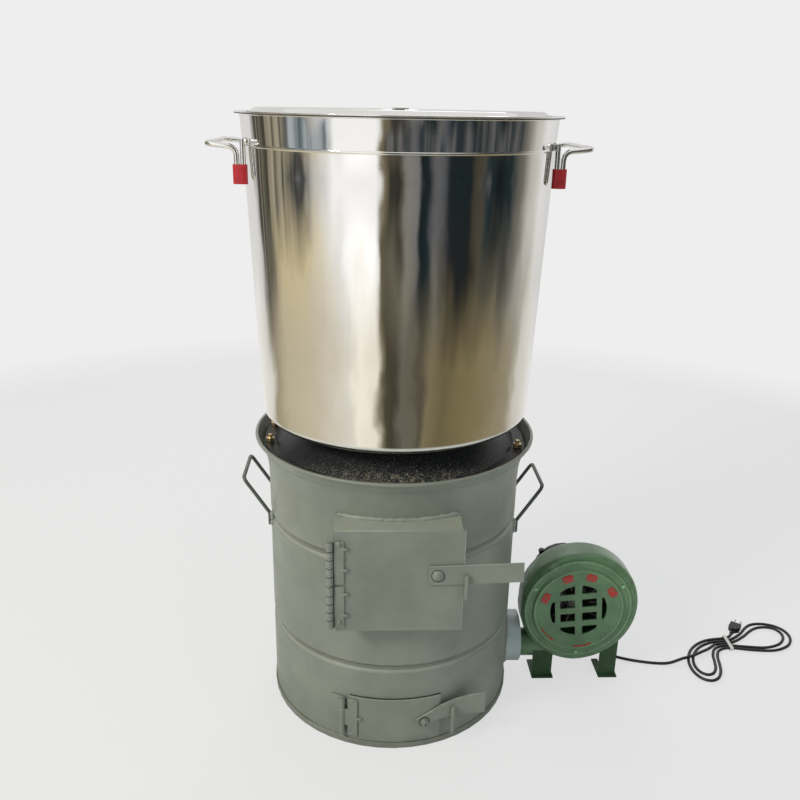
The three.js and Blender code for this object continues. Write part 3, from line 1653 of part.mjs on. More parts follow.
function addCord() {
  const path = hankPath();
  place('cord_run', makeCordRun(path), blackRubber, stove);
  place('cord_hank', makeHank(path), blackRubber, stove);
  const band = place('cord_tie', makeTie(), whiteTie, stove);
  band.position.set(hank.tiePlace[0], hank.tiePlace[1], tie.sheet);
  band.rotation.z = degrees(hank.axisAngle) - Math.atan(hank.skew / hank.leftReach);
  const heading = endHeading(path);
  const plugGroup = new THREE.Group();
  plugGroup.position.copy(path[path.length - 1]);
  plugGroup.rotation.z = Math.atan2(heading.y, heading.x);
  stove.add(plugGroup);
  place('plug', makePlug(), blackRubber, plugGroup);
  place('plug_pin_1', pinShape(-1, 0, clearance), brightSteel, plugGroup);
  place('plug_pin_2', pinShape(1, 0, clearance), brightSteel, plugGroup);
}

addBody();
addFuelDoor();
addAshDoor();
addBlower();
addPot();
addCord();

export default stove;
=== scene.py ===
# The looks of a drum-shaped coal stove with its blower and tall steel pot. Metres, +Z up, doors towards -Y.

import math
import random

import bmesh
import bpy
from mathutils import Matrix, Vector


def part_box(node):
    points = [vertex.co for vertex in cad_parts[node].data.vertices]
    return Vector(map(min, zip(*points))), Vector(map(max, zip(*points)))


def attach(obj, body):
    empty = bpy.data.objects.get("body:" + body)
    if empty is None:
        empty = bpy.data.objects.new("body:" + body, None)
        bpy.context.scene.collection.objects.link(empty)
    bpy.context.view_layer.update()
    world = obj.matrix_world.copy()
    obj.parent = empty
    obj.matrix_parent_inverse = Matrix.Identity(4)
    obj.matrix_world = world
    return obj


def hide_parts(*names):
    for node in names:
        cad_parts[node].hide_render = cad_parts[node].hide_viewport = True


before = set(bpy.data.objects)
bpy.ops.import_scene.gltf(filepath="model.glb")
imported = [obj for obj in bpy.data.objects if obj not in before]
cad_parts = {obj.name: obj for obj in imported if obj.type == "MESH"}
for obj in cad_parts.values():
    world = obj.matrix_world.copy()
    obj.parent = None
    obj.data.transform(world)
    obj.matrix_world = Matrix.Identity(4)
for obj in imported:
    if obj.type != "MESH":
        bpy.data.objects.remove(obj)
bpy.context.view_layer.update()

FULL_TURN = 2 * math.pi
SMOOTH = math.radians(180)
UP = Vector((0, 0, 1))

# Sizes, as in the solids

CLEARANCE = 0.0003
DRUM_RADIUS = 0.225
DRUM_TOP = 0.480
RIM_HEIGHT = 0.521
RIM_INNER_RADIUS = 0.243
RIM_SHEET = 0.0022
RING_DUST_CENTRE = 0.047
CHUTE_HALF_WIDTH = 0.100
CHUTE_FLOOR = 0.270
CHUTE_ROOF = 0.448
HANDLE_HALF_WIDTH = 0.0535
DOOR_FRONT = -0.2613
DOOR_LEAF_FRONT = -0.2640
HINGE_BARREL_RADIUS = 0.0054
ASH_DOOR_RADIUS = 0.2296
ASH_DOOR_TOP = 0.1046
ASH_BOLT_AZIMUTH = 12.7
ASH_BOLT_HEIGHT = 0.058
ASH_BOLT_TIP = 0.2414
ASH_WASHER_FRONT = 0.2330
ASH_WASHER_RADIUS = 0.0087
PIPE_RADIUS = 0.0495
PIPE_HEIGHT = 0.07415
POT_FLOOR = 0.5595
POT_RIM = 1.0515
POT_BOTTOM_RADIUS = 0.231
POT_TOP_RADIUS = 0.250
POT_SHEET = 0.0014
POT_CORNER = 0.015
POT_HANDLE_HALF_WIDTH = 0.090
POT_HANDLE_WELD = 1.0105
POT_HANDLE_WALL_RADIUS = 0.2475
BEAD_DROP = 0.046
BEAD_RISE = 0.0009
BEAD_HALF_HEIGHT = 0.0027
ROLL_RADIUS = 0.003
LID_RADIUS = 0.260
LID_SHEET = 0.0014
SKIRT_GAP = 0.0025
SKIRT_DEPTH = 0.009
PLATEAU_RADIUS = 0.237
PLATEAU_RISE = 0.008
WELL_RADIUS = 0.058
WELL_SLOPE = 0.0105
WELL_DEPTH = 0.015
FAN_AXIS = Vector((0.357, -0.008159, 0.160))
CASING_HALF_DEPTH = 0.031
CASING_FLAT_SHARE = 0.52
CASING_SHOULDER = 0.013
CASING_WALL = 0.003
SCROLL_LEFT = 0.106
SCROLL_BOTTOM = 0.123
OUTLET_RADIUS = 0.027
OUTLET_WALL = 0.0025
OUTLET_ROOT = 0.030
OUTLET_LENGTH = 0.125
MOTOR_MOUTH_RADIUS = 0.040
COVER_RADIUS = 0.103
COVER_SEAT = 0.0262
DISC_RADIUS = 0.089
COVER_FRONT = -0.0343
COVER_RISE = 0.0045
ARROW_RADIUS = 0.079
BAR_RADIUS = 0.0805
GLAND_LENGTH = 0.026
GLAND_RADIUS = 0.0070
GLAND_TIP_RADIUS = 0.0044
GLAND_ANGLE = math.radians(58)
CORD_RADIUS = 0.003

# Sides of the turned pieces, roundings of edges, and how uneven a weld is

COLLAR_SIDES = 160
LINING_SIDES = 144
COVER_SIDES = 144
POT_SIDES = 256
LID_LINE_SIDES = 192
SCROLL_SIDES = 120
OUTLET_SIDES = 64
ROOM_SIDES = 96
FINE_ROUNDING = 0.0003
SHEET_ROUNDING = 0.0006
WELD_SPACING = 0.0032
WELD_RIPPLE_SHARE = 0.16
WELD_SWELL_SHARE = 0.14
WELD_STRAY_SHARE = 0.12
WELD_END_SHARE = 0.55
SPOT_STEPS = 6

# The camera of the photograph

FOCAL_PIXELS = 831.97
IMAGE_WIDTH = 800
SENSOR = 36.0
CAMERA_DISTANCE = 1.39935
CAMERA_HEIGHT = 1.0673
CAMERA_AZIMUTH = math.radians(2.3)
CAMERA_YAW = CAMERA_AZIMUTH + 0.0065
CAMERA_PITCH = 0.3414
CAMERA_ROLL = 0.0191


def make_camera():
    """Looks down on the stove from the front, as the photograph does."""
    cos_yaw, sin_yaw = math.cos(CAMERA_YAW), math.sin(CAMERA_YAW)
    cos_pitch, sin_pitch = math.cos(CAMERA_PITCH), math.sin(CAMERA_PITCH)
    forward = Vector((sin_yaw * cos_pitch, cos_yaw * cos_pitch, -sin_pitch))
    level = Vector((cos_yaw, -sin_yaw, 0))
    below = forward.cross(level)
    right = level * math.cos(CAMERA_ROLL) - below * math.sin(CAMERA_ROLL)
    down = below * math.cos(CAMERA_ROLL) + level * math.sin(CAMERA_ROLL)
    data = bpy.data.cameras.new("photo_camera")
    data.sensor_width = SENSOR
    data.lens = FOCAL_PIXELS / IMAGE_WIDTH * SENSOR
    camera = new_object("photo_camera", data)
    place = around(CAMERA_DISTANCE, -math.degrees(CAMERA_AZIMUTH), CAMERA_HEIGHT)
    camera.matrix_world = Matrix.Translation(place) @ Matrix((right, -down, -forward)).transposed().to_4x4()
    bpy.context.scene.camera = camera


# Shapes. A look is a material, the body that a piece rides on and the slot of its finish


def new_object(name, data):
    piece = bpy.data.objects.new(name, data)
    bpy.context.scene.collection.objects.link(piece)
    return piece


def finish_piece(piece, look):
    material, body, slot = look
    piece.data.materials.clear()
    piece.data.materials.append(material)
    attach(piece, body)
    return piece


def mesh_piece(name, geometry, look, angle=SMOOTH):
    """A piece from vertices and faces, with its faces turned outwards and sharp edges beyond an angle."""
    vertices, faces = geometry
    mesh = bpy.data.meshes.new(name)
    mesh.from_pydata(vertices, [], faces)
    work = bmesh.new()
    work.from_mesh(mesh)
    bmesh.ops.remove_doubles(work, verts=work.verts, dist=1e-6)
    bmesh.ops.recalc_face_normals(work, faces=work.faces)
    work.to_mesh(mesh)
    work.free()
    mesh.polygons.foreach_set("use_smooth", [True] * len(mesh.polygons))
    mesh.set_sharp_from_angle(angle=angle)
    mesh.update()
    return finish_piece(new_object(name, mesh), look)


def turn(steps):
    """The angles of even steps round a full turn."""
    return [FULL_TURN * i / steps for i in range(steps)]


def sweep(steps, start=0.0, extent=FULL_TURN):
    """The angles of even steps over an arc, both ends included."""
    return [start + extent * i / steps for i in range(steps + 1)]


def ellipse(across, up, half_width, half_height, steps):
    """A closed section round a place, as pairs."""
    return [(across + half_width * math.cos(k), up + half_height * math.sin(k)) for k in turn(steps)]


def arc(across, up, radius, start, extent, steps):
    """Part of a circle, as pairs."""
    return [(across + radius * math.cos(k), up + radius * math.sin(k)) for k in sweep(steps, start, extent)]


def circle(centre, across, up, radius, steps):
    """A path once round a place, back to its start."""
    return [centre + (across * math.cos(angle) + up * math.sin(angle)) * radius for angle in sweep(steps)]


def around(radius, azimuth, height):
    """A place at a distance and azimuth in degrees round the drum; azimuth 0 is the front."""
    angle = math.radians(azimuth)
    return Vector((radius * math.sin(angle), -radius * math.cos(angle), height))


def drum_arc(radius, start, end, height):
    """A level path round the drum, from one azimuth to another."""
    return [around(radius, azimuth, height) for azimuth in sweep(24, start, end - start)]


def grid_faces(rows, columns, closed=True):
    """Faces between rows of points, each closed on itself, and from the last row to the first if closed."""
    faces = []
    for row in range(rows if closed else rows - 1):
        here, ahead = row * columns, (row + 1) % rows * columns
        for column in range(columns):
            onward = (column + 1) % columns
            faces.append((here + column, here + onward, ahead + onward, ahead + column))
    return faces


def capped(rings):
    """The skin over a row of rings, closed at both ends."""
    count = len(rings[0])
    faces = grid_faces(len(rings), count, False)
    faces.append(tuple(reversed(range(count))))
    faces.append(tuple(range((len(rings) - 1) * count, len(rings) * count)))
    return [vertex for ring in rings for vertex in ring], faces


def joined(*geometries):
    vertices = []
    faces = []
    for more_vertices, more_faces in geometries:
        faces += [tuple(len(vertices) + index for index in face) for face in more_faces]
        vertices += more_vertices
    return vertices, faces


def lathe(profile, sides):
    """A closed profile of (radius, height) pairs turned round Z."""
    vertices = []
    for angle in turn(sides):
        for radius, height in profile:
            vertices.append(Vector((radius * math.cos(angle), radius * math.sin(angle), height)))
    return vertices, grid_faces(sides, len(profile))


def tube(points, radii, sides):
    """A tube along points, with one radius or a list of them, and closed ends."""
    if isinstance(radii, float):
        radii = [radii] * len(points)
    rings = []
    side = None
    for i, point in enumerate(points):
        heading = (points[min(i + 1, len(points) - 1)] - points[max(i - 1, 0)]).normalized()
        if side is None:
            side = heading.orthogonal().normalized()
        side = (side - heading * side.dot(heading)).normalized()
        other = heading.cross(side)
        rings.append([point + (side * math.cos(k) + other * math.sin(k)) * radii[i] for k in turn(sides)])
    return capped(rings)


def rod(start, end, radius, sides=8):
    """A straight tube between two places."""
    return tube([start, start.lerp(end, 0.5), end], radius, sides)


def resample(points, spacing):
    """The same path in even steps."""
    lengths = [0.0]
    for first, second in zip(points, points[1:]):
        lengths.append(lengths[-1] + (second - first).length)
    steps = max(2, round(lengths[-1] / spacing))
    result = []
    index = 0
    for step in range(steps + 1):
        target = lengths[-1] * step / steps
        while index < len(points) - 2 and lengths[index + 1] < target:
            index += 1
        share = (target - lengths[index]) / max(lengths[index + 1] - lengths[index], 1e-9)
        result.append(points[index].lerp(points[index + 1], min(max(share, 0), 1)))
    return result


def smooth_path(points, steps):
    """A smooth curve through the points (Catmull-Rom)."""
    result = []
    for i in range(len(points) - 1):
        p1, p2 = points[i], points[i + 1]
        p0 = points[i - 1] if i > 0 else p1 * 2 - p2
        p3 = points[i + 2] if i + 2 < len(points) else p2 * 2 - p1
        for step in range(steps):
            t = step / steps
            result.append(0.5 * (
                2 * p1 + (p2 - p0) * t + (2 * p0 - 5 * p1 + 4 * p2 - p3) * t * t
                + (3 * p1 - p0 - 3 * p2 + p3) * t ** 3
            ))
    result.append(points[-1])
    return result


# Node materials


class Finish:
    """A node material in the making. Its texture coordinates are the frame's metres."""

    def __init__(self, name, **sockets):
        self.material = bpy.data.materials.new(name)
        self.material.use_nodes = True
        self.tree = self.material.node_tree
        self.tree.nodes.clear()
        self.surface = self.add("ShaderNodeOutputMaterial").inputs["Surface"]
        self.shader = self.add("ShaderNodeBsdfPrincipled")
        self.put(self.surface, self.shader.outputs["BSDF"])
        self.place = self.add("ShaderNodeTexCoord").outputs["Object"]
        self.fill(self.shader, **sockets)

    def add(self, kind, **settings):
        node = self.tree.nodes.new(kind)
        for key, value in settings.items():
            setattr(node, key, value)
        return node

    def put(self, socket, value):
        """Links a value that is a socket, and sets one that is a number or a colour."""
        if isinstance(value, bpy.types.NodeSocket):
            self.tree.links.new(value, socket)
        elif isinstance(value, tuple) and len(value) == 3 and socket.type == "RGBA":
            socket.default_value = (*value, 1)
        else:
            socket.default_value = value

    def fill(self, node, **sockets):
        for socket, value in sockets.items():
            self.put(node.inputs[socket.replace("_", " ")], value)

    def set(self, name, value):
        self.put(self.shader.inputs[name], value)

    def noise(self, scale, detail=3.0, roughness=0.5, stretch=None):
        node = self.add("ShaderNodeTexNoise")
        place = self.place
        if stretch:
            stretching = self.add("ShaderNodeVectorMath", operation="MULTIPLY")
            self.put(stretching.inputs[0], place)
            stretching.inputs[1].default_value = stretch
            place = stretching.outputs["Vector"]
        self.fill(node, Vector=place, Scale=scale, Detail=detail, Roughness=roughness)
        return node.outputs["Fac"]

    def cells(self, scale):
        node = self.add("ShaderNodeTexVoronoi")
        self.fill(node, Vector=self.place, Scale=scale)
        return node.outputs["Distance"]

    def math(self, operation, first, second=0.0, third=0.0):
        node = self.add("ShaderNodeMath", operation=operation)
        for socket, value in zip(node.inputs, (first, second, third)):
            self.put(socket, value)
        return node.outputs["Value"]

    def times(self, first, second):
        return self.math("MULTIPLY", first, second)

    def span(self, value, low, high, to_low=0.0, to_high=1.0):
        """Maps a value from low..high to another span, kept inside it."""
        node = self.add("ShaderNodeMapRange")
        for socket, number in zip(node.inputs, (value, low, high, to_low, to_high)):
            self.put(socket, number)
        return node.outputs["Result"]

    def between(self, value, rise, fall):
        """One inside a range and zero outside it, with soft edges."""
        return self.times(self.span(value, *rise), self.span(value, *fall, 1.0, 0.0))

    def mix(self, share, first, second):
        node = self.add("ShaderNodeMix", data_type="RGBA")
        for index, value in ((0, share), (6, first), (7, second)):
            self.put(node.inputs[index], value)
        return node.outputs[2]

    def ramp(self, share, stops):
        node = self.add("ShaderNodeValToRGB")
        elements = node.color_ramp.elements
        while len(elements) < len(stops):
            elements.new(0.5)
        for element, (position, colour) in zip(elements, stops):
            element.position = position
            element.color = (*colour, 1)
        self.put(node.inputs["Fac"], share)
        return node.outputs["Color"]

    def tinted(self, colour, share):
        """A colour made darker or lighter."""
        node = self.add("ShaderNodeVectorMath", operation="SCALE")
        self.put(node.inputs[0], colour)
        self.put(node.inputs["Scale"], share)
        return node.outputs["Vector"]

    def part(self, vector, index):
        node = self.add("ShaderNodeSeparateXYZ")
        self.put(node.inputs[0], vector)
        return node.outputs[index]

    def axis(self, index):
        return self.part(self.place, index)

    def radius(self, forward=0.0):
        """Distance from an upright axis, the drum's own or one behind it."""
        along = self.math("ADD", self.axis(1), -forward) if forward else self.axis(1)
        squares = self.math("ADD", self.math("POWER", self.axis(0), 2.0), self.math("POWER", along, 2.0))
        return self.math("SQRT", squares)

    def facing_up(self):
        return self.part(self.add("ShaderNodeNewGeometry").outputs["Normal"], 2)

    def bump(self, height, distance, strength=1.0, below=None):
        node = self.add("ShaderNodeBump")
        self.fill(node, Height=height, Distance=distance, Strength=strength)
        if below is not None:
            self.put(node.inputs["Normal"], below)
        return node.outputs["Normal"]

    def show(self, share, first, second):
        """Shows two shaders mixed by a share."""
        node = self.add("ShaderNodeMixShader")
        for index, value in enumerate((share, first, second)):
            self.put(node.inputs[index], value)
        self.put(self.surface, node.outputs["Shader"])

    def glow(self, colour):
        node = self.add("ShaderNodeEmission")
        self.put(node.inputs["Color"], colour)
        return node.outputs["Emission"]


# Each paint's light and dark colour
GREY = ((0.262, 0.278, 0.238), (0.200, 0.216, 0.186))
CHUTE_GREY = ((0.405, 0.428, 0.362), (0.312, 0.331, 0.281))
PIPE_GREY = ((0.530, 0.608, 0.628), (0.345, 0.405, 0.420))
WELD_GREY = ((0.400, 0.430, 0.385), (0.165, 0.180, 0.155))
HANDLE_GREY = ((0.105, 0.118, 0.108), (0.060, 0.068, 0.060))
# Lighter paint for the painted highlights along edges
EDGE_HIGHLIGHT_GREY = ((0.46, 0.49, 0.44), (0.34, 0.365, 0.32))
GREEN = ((0.128, 0.240, 0.122), (0.088, 0.178, 0.088))
# Dark grey for dirt streaks and soil, and also for the painted shade in the drum's grooves
GREY_GRIME_AND_SHADE = (0.105, 0.092, 0.070)
DUST = (0.40, 0.33, 0.23)


def make_drum_paint(name, colours, grime_share):
    """Grey enamel over sheet steel: brushed on unevenly, dusty on top and grimy near the ground, with painted
    shade on the downward slopes of the grooves and a painted highlight on their upward slopes.
    """
    light, dark = colours
    paint = Finish(name, Specular_IOR_Level=0.5)
    base = paint.mix(paint.span(paint.noise(7.0, 5.0, 0.6), 0.35, 0.65), dark, light)
    streaks = paint.span(paint.noise(16.0, 7.0, 0.6, (1.0, 1.0, 0.12)), 0.55, 0.80, 0.0, 0.16)
    base = paint.mix(streaks, base, GREY_GRIME_AND_SHADE)
    base = paint.mix(paint.span(paint.noise(420.0, 2.0), 0.70, 0.76, 0.0, 0.5), base, DUST)
    # Painted light in the grooves: darker paint on the slopes that face down stands in for shade, and lighter
    # paint on the slopes that face up stands in for a highlight
    in_groove = paint.span(paint.radius(), DRUM_RADIUS - 0.0026, DRUM_RADIUS - 0.0004, 1.0, 0.0)
    groove_painted_shade = paint.times(in_groove, paint.span(paint.facing_up(), -0.15, 0.30, 0.55, 0.0))
    base = paint.mix(groove_painted_shade, base, GREY_GRIME_AND_SHADE)
    groove_painted_highlight = paint.times(in_groove, paint.span(paint.facing_up(), 0.22, 0.50, 0.0, 0.40))
    base = paint.mix(groove_painted_highlight, base, WELD_GREY[0])
    near_ground = paint.span(paint.axis(2), 0.0, 0.035, 1.0, 0.0)
    soil = paint.times(near_ground, paint.span(paint.noise(30.0, 6.0, 0.7), 0.35, 0.7))
    base = paint.mix(paint.times(soil, grime_share), base, GREY_GRIME_AND_SHADE)
    settled = paint.times(paint.span(paint.facing_up(), 0.5, 1.0), 0.10)
    paint.set("Base Color", paint.mix(settled, base, DUST))
    paint.set("Roughness", paint.span(paint.noise(22.0, 6.0, 0.65), 0.3, 0.7, 0.30, 0.50))
    dents = paint.bump(paint.noise(11.0, 2.0), 0.0035, 0.30)
    paint.set("Normal", paint.bump(paint.noise(520.0, 2.0), 0.00022, 0.35, dents))
    return paint.material


def make_black_varnish():
    """Black varnish on a sand casting, with yellow dust round its outer edge at the front."""
    varnish = Finish("black_varnish", Coat_Weight=0.08, Coat_Roughness=0.15, Specular_IOR_Level=0.20)
    reach = varnish.radius(RING_DUST_CENTRE)
    at_front = varnish.span(varnish.axis(1), -0.21, -0.11, 1.0, 0.0)
    near = varnish.times(varnish.span(reach, 0.206, 0.252), at_front)
    specks = varnish.span(varnish.noise(520.0, 4.0, 0.7), 0.56, 0.64)
    specks = varnish.times(specks, varnish.math("MULTIPLY_ADD", near, 0.85, 0.03))
    base = varnish.mix(specks, (0.013, 0.0145, 0.017), (0.46, 0.44, 0.39))
    patches = varnish.times(varnish.span(varnish.noise(120.0, 6.0, 0.75), 0.50, 0.66), at_front)
    band = varnish.times(varnish.span(reach, 0.243, 0.251), patches)
    varnish.set("Base Color", varnish.mix(varnish.times(band, 0.75), base, (0.34, 0.29, 0.21)))
    varnish.set("Roughness", varnish.span(band, 0.0, 1.0, 0.34, 0.85))
    grain = varnish.bump(varnish.noise(140.0, 6.0, 0.7), 0.0011, 0.6)
    varnish.set("Normal", varnish.bump(varnish.noise(28.0, 3.0), 0.003, 0.35, grain))
    return varnish.material


def textured(name, colour, rough, bumps, spots=None, **sockets):
    """A finish in noise: two colours, spots over them, uneven roughness, and bumps laid one on another."""
    finish = Finish(name, **sockets)
    pattern, limits, first, second = colour
    base = finish.mix(finish.span(finish.noise(*pattern), *limits), first, second)
    if spots:
        pattern, limits, third = spots
        base = finish.mix(finish.span(finish.noise(*pattern), *limits), base, third)
    finish.set("Base Color", base)
    pattern, limits = rough
    finish.set("Roughness", finish.span(finish.noise(*pattern), *limits))
    normal = None
    for pattern, distance, strength in bumps:
        height = finish.cells(pattern) if isinstance(pattern, float) else finish.noise(*pattern)
        normal = finish.bump(height, distance, strength, normal)
    finish.set("Normal", normal)
    return finish.material


def make_green_paint(name="green_gloss", share=1.0, coat=0.35):
    """Thick green gloss paint over a rough aluminium casting, in a lighter or darker share of its green."""
    light, dark = (tuple(channel * share for channel in colour) for colour in GREEN)
    return textured(
        name, ((30.0, 4.0), (0.35, 0.65), dark, light), ((50.0, 5.0), (0.3, 0.7, 0.22, 0.42)),
        [((45.0, 3.0), 0.0016, 0.35), (420.0, 0.00035, 0.45)],
        ((330.0, 3.0, 0.6), (0.69, 0.74, 0.0, 0.6), (0.19, 0.25, 0.17)),
        Coat_Weight=coat, Coat_Roughness=0.14, Specular_IOR_Level=0.1 + coat,
    )


def make_worn_red():
    """Red enamel brushed over raised casting, worn through to the green on its high spots."""
    wear = (300.0, 4.0, 0.65)
    return textured(
        "worn_red", (wear, (0.53, 0.60), (0.50, 0.014, 0.012), (0.085, 0.150, 0.080)),
        (wear, (0.53, 0.60, 0.38, 0.55)), [((420.0, 3.0), 0.0006, 0.7)], Coat_Weight=0.2,
    )


def make_motor_black():
    """Satin black paint with dust in its low places."""
    return textured(
        "motor_satin", ((55.0, 5.0), (0.4, 0.7), (0.012, 0.017, 0.016), (0.030, 0.038, 0.034)),
        ((90.0, 5.0), (0.3, 0.7, 0.38, 0.58)), [((300.0, 3.0), 0.0004, 0.4)], Specular_IOR_Level=0.45,
    )


def make_stainless(name, roughest, smoothest, waves):
    """Polished stainless steel: faint rubbing marks that run round the wall, and a slightly wavy mirror."""
    marks = (26.0, 6.0, 0.7, (0.35, 0.35, 16.0))
    return textured(
        name, ((9.0, 4.0), (0.3, 0.7), (0.77, 0.755, 0.725), (0.83, 0.82, 0.80)),
        (marks, (0.35, 0.70, roughest, smoothest)),
        [((5.5, 2.0, 0.5, (1.0, 1.0, 0.30)), waves, 0.5), (marks, 0.00004, 0.4)], Metallic=1.0,
    )


def make_metal(name, light, dark, roughness):
    """Small metal goods: plated, with handling marks."""
    marks = (160.0, 5.0, 0.65)
    return textured(
        name, (marks, (0.38, 0.66), light, dark), (marks, (0.3, 0.7, roughness, roughness * 1.7)),
        [((520.0, 2.0), 0.00008, 0.4)], Metallic=1.0,
    )


def make_moulded(name, light, dark, roughness, grain):
    """Moulded plastic or rubber with a fine skin."""
    return textured(
        name, ((45.0, 5.0), (0.35, 0.65), dark, light),
        ((120.0, 4.0), (0.3, 0.7, roughness, roughness * 1.35)),
        [((1500.0, 2.0), 0.00005, grain)], Specular_IOR_Level=0.5,
    )


def make_fire_clay():
    """Rammed fire clay, sooty in patches."""
    grit = (120.0, 8.0, 0.75)
    return textured(
        "fire_clay", (grit, (0.35, 0.7), (0.33, 0.25, 0.17), (0.50, 0.41, 0.30)),
        (grit, (0.3, 0.7, 0.82, 0.98)), [(grit, 0.002, 0.7)],
        ((12.0, 5.0), (0.42, 0.62, 0.0, 0.7), (0.06, 0.055, 0.05)), Specular_IOR_Level=0.2,
    )


def make_cast_iron():
    """Bare sand-cast iron with scale and ash."""
    scale = (95.0, 7.0, 0.7)
    return textured(
        "cast_iron_scale", (scale, (0.4, 0.68), (0.035, 0.033, 0.032), (0.15, 0.11, 0.085)),
        (scale, (0.3, 0.7, 0.55, 0.85)), [(scale, 0.0012, 0.6)], Metallic=0.35,
    )


# The cord

CORD_ROUTE = [
    (0.40395, 0.0501, 0.08487), (0.4068, 0.0501, 0.0803), (0.4106, 0.0499, 0.0734),
    (0.4144, 0.0493, 0.0650), (0.4180, 0.0480, 0.0545), (0.4214, 0.0462, 0.0425),
    (0.4248, 0.0438, 0.0300), (0.4290, 0.0407, 0.0185), (0.4354, 0.0366, 0.0093),
    (0.4446, 0.0314, 0.0043), (0.4570, 0.0250, 0.0032), (0.4750, 0.0155, 0.0032),
    (0.4970, 0.0075, 0.0032), (0.5200, 0.0015, 0.0032), (0.5400, -0.0020, 0.0032),
    (0.5580, -0.0036, 0.0035), (0.5720, -0.0032, 0.0052), (0.5850, -0.0010, 0.0082),
    (0.5970, 0.0020, 0.0106), (0.6102, 0.0062, 0.0108), (0.6240, 0.0115, 0.0108),
    (0.6360, 0.0180, 0.0108), (0.6480, 0.0260, 0.0094), (0.6590, 0.0345, 0.0066),
    (0.6690, 0.0425, 0.0046), (0.6780, 0.0495, 0.0041),
]

HANK_TIE = Vector((0.717, 0.059, 0.0041))
HANK_AZIMUTH = math.radians(31)
HANK_TURNS = 2
HANK_LEAD = 0.03
HANK_STEPS_PER_TURN = 24
HANK_REACH = {"left": 0.135, "right": 0.150}
HANK_REACH_STEP = 0.0105
HANK_WAIST = 0.0186
HANK_WAIST_STEP = 0.0082
HANK_SWELL = {"left": 0.068, "right": 0.075}
HANK_STEP = {"left": 0.0155, "right": 0.022}
HANK_BOW = {"left": -0.147, "right": 0.068}
HANK_SKEW = 0.084
HANK_SOFT_SHARE = 0.15
HANK_POWER_SHARE = 1.6
TAIL_STEPS = 3
TAIL_STEP = 0.009
TAIL_TURN = math.radians(14)


def hank_point(turns):
    """A point of the hank, as in the solids: long loops drawn in at the tie."""
    angle = math.pi / 2 - FULL_TURN * turns
    along = math.cos(angle)
    side = "right" if along > 0 else "left"
    left = HANK_TURNS - turns
    lobe = math.hypot(along, HANK_SOFT_SHARE) - HANK_SOFT_SHARE
    opening = math.sin(lobe * math.pi / 2)
    reach = HANK_REACH[side]
    swell = HANK_SWELL[side] * (opening if side == "right" else lobe ** HANK_POWER_SHARE)
    step = HANK_WAIST_STEP + (HANK_STEP[side] - HANK_WAIST_STEP) * opening
    u = (reach - HANK_REACH_STEP * left) * along
    middle = HANK_BOW[side] * (u / reach) ** 2 - HANK_SKEW * u / reach
    slope = (2 * HANK_BOW[side] * u / reach - HANK_SKEW) / reach
    offset = math.sin(angle) * (HANK_WAIST + swell - left * step)
    across = offset / math.hypot(1, slope)
    point = Vector((u - slope * across, middle + across, 0))
    point.rotate(Matrix.Rotation(HANK_AZIMUTH, 3, "Z"))
    return point + HANK_TIE


def cord_path():
    """The cord's whole centreline, from the strain relief to the plug."""
    total = HANK_TURNS + HANK_LEAD
    loops = [hank_point(turns) for turns in sweep(round(HANK_STEPS_PER_TURN * total), -HANK_LEAD, total)]
    lead = (loops[1] - loops[0]).normalized()
    points = [Vector(point) for point in CORD_ROUTE] + [loops[0] - lead * 2 * CORD_RADIUS] + loops
    heading = (points[-1] - points[-2]).normalized()
    for _ in range(TAIL_STEPS):
        heading.rotate(Matrix.Rotation(TAIL_TURN, 3, "Z"))
        points.append(points[-1] + heading * TAIL_STEP)
    return smooth_path(points, 4)


def make_cord(look):
    path = cord_path()
    data = bpy.data.curves.new("cord", "CURVE")
    data.dimensions = "3D"
    data.bevel_depth = CORD_RADIUS
    data.bevel_resolution = 3
    data.use_fill_caps = True
    spline = data.splines.new("POLY")
    spline.points.add(len(path) - 1)
    for point, place in zip(spline.points, path):
        point.co = (*place, 1)
    spline.use_smooth = True
    cord = finish_piece(new_object("cord", data), look)
    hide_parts("cord_run", "cord_hank")
    length = sum((b - a).length for a, b in zip(path, path[1:]))
    print(f"cord length {length:.4f} m")


# Solids whose shape is right, rounded along their edges, and welds


def solid_mesh(node):
    """A solid's mesh in the making, with each flat face in one piece."""
    work = bmesh.new()
    work.from_mesh(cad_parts[node].data)
    bmesh.ops.remove_doubles(work, verts=work.verts, dist=2e-6)
    bmesh.ops.dissolve_limit(work, angle_limit=math.radians(0.4), verts=work.verts, edges=work.edges)
    return work


def dress(node, look, bevel, segments=2, angle=math.radians(32)):
    """A copy of a solid with its facets smoothed and its sharp edges rounded off."""
    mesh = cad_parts[node].data.copy()
    mesh.name = node + "_skin"
    work = solid_mesh(node)
    work.to_mesh(mesh)
    work.free()
    piece = new_object(node + "_skin", mesh)
    mesh.polygons.foreach_set("use_smooth", [True] * len(mesh.polygons))
    if bevel > 0:
        rounding = piece.modifiers.new("rounding", "BEVEL")
        rounding.width = bevel
        rounding.segments = segments
        rounding.limit_method = "ANGLE"
        rounding.angle_limit = angle
        rounding.use_clamp_overlap = True
        mesh.set_sharp_from_angle(angle=math.radians(75))
        flattening = piece.modifiers.new("flattening", "WEIGHTED_NORMAL")
        flattening.keep_sharp = False
    else:
        mesh.set_sharp_from_angle(angle=angle)
    finish_piece(piece, look)
    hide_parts(node)
    return piece


def weld_bead(name, points, radius, look, spacing=WELD_SPACING):
    """A hand-laid weld: a lumpy tube, half sunk into what it joins."""
    path = resample(points, spacing)
    dice = random.Random(name)
    radii = []
    for i in range(len(path)):
        swell = 1 + WELD_RIPPLE_SHARE * math.sin(i * 2.1) + dice.uniform(-WELD_SWELL_SHARE, WELD_SWELL_SHARE)
        at_end = i in (0, len(path) - 1)
        radii.append(radius * swell * (WELD_END_SHARE if at_end else 1))
    uneven = []
    for point in path:
        stray = [dice.uniform(-WELD_STRAY_SHARE, WELD_STRAY_SHARE) * radius for _ in range(3)]
        uneven.append(point + Vector(stray))
    mesh_piece(name, tube(uneven, radii, 8), look)


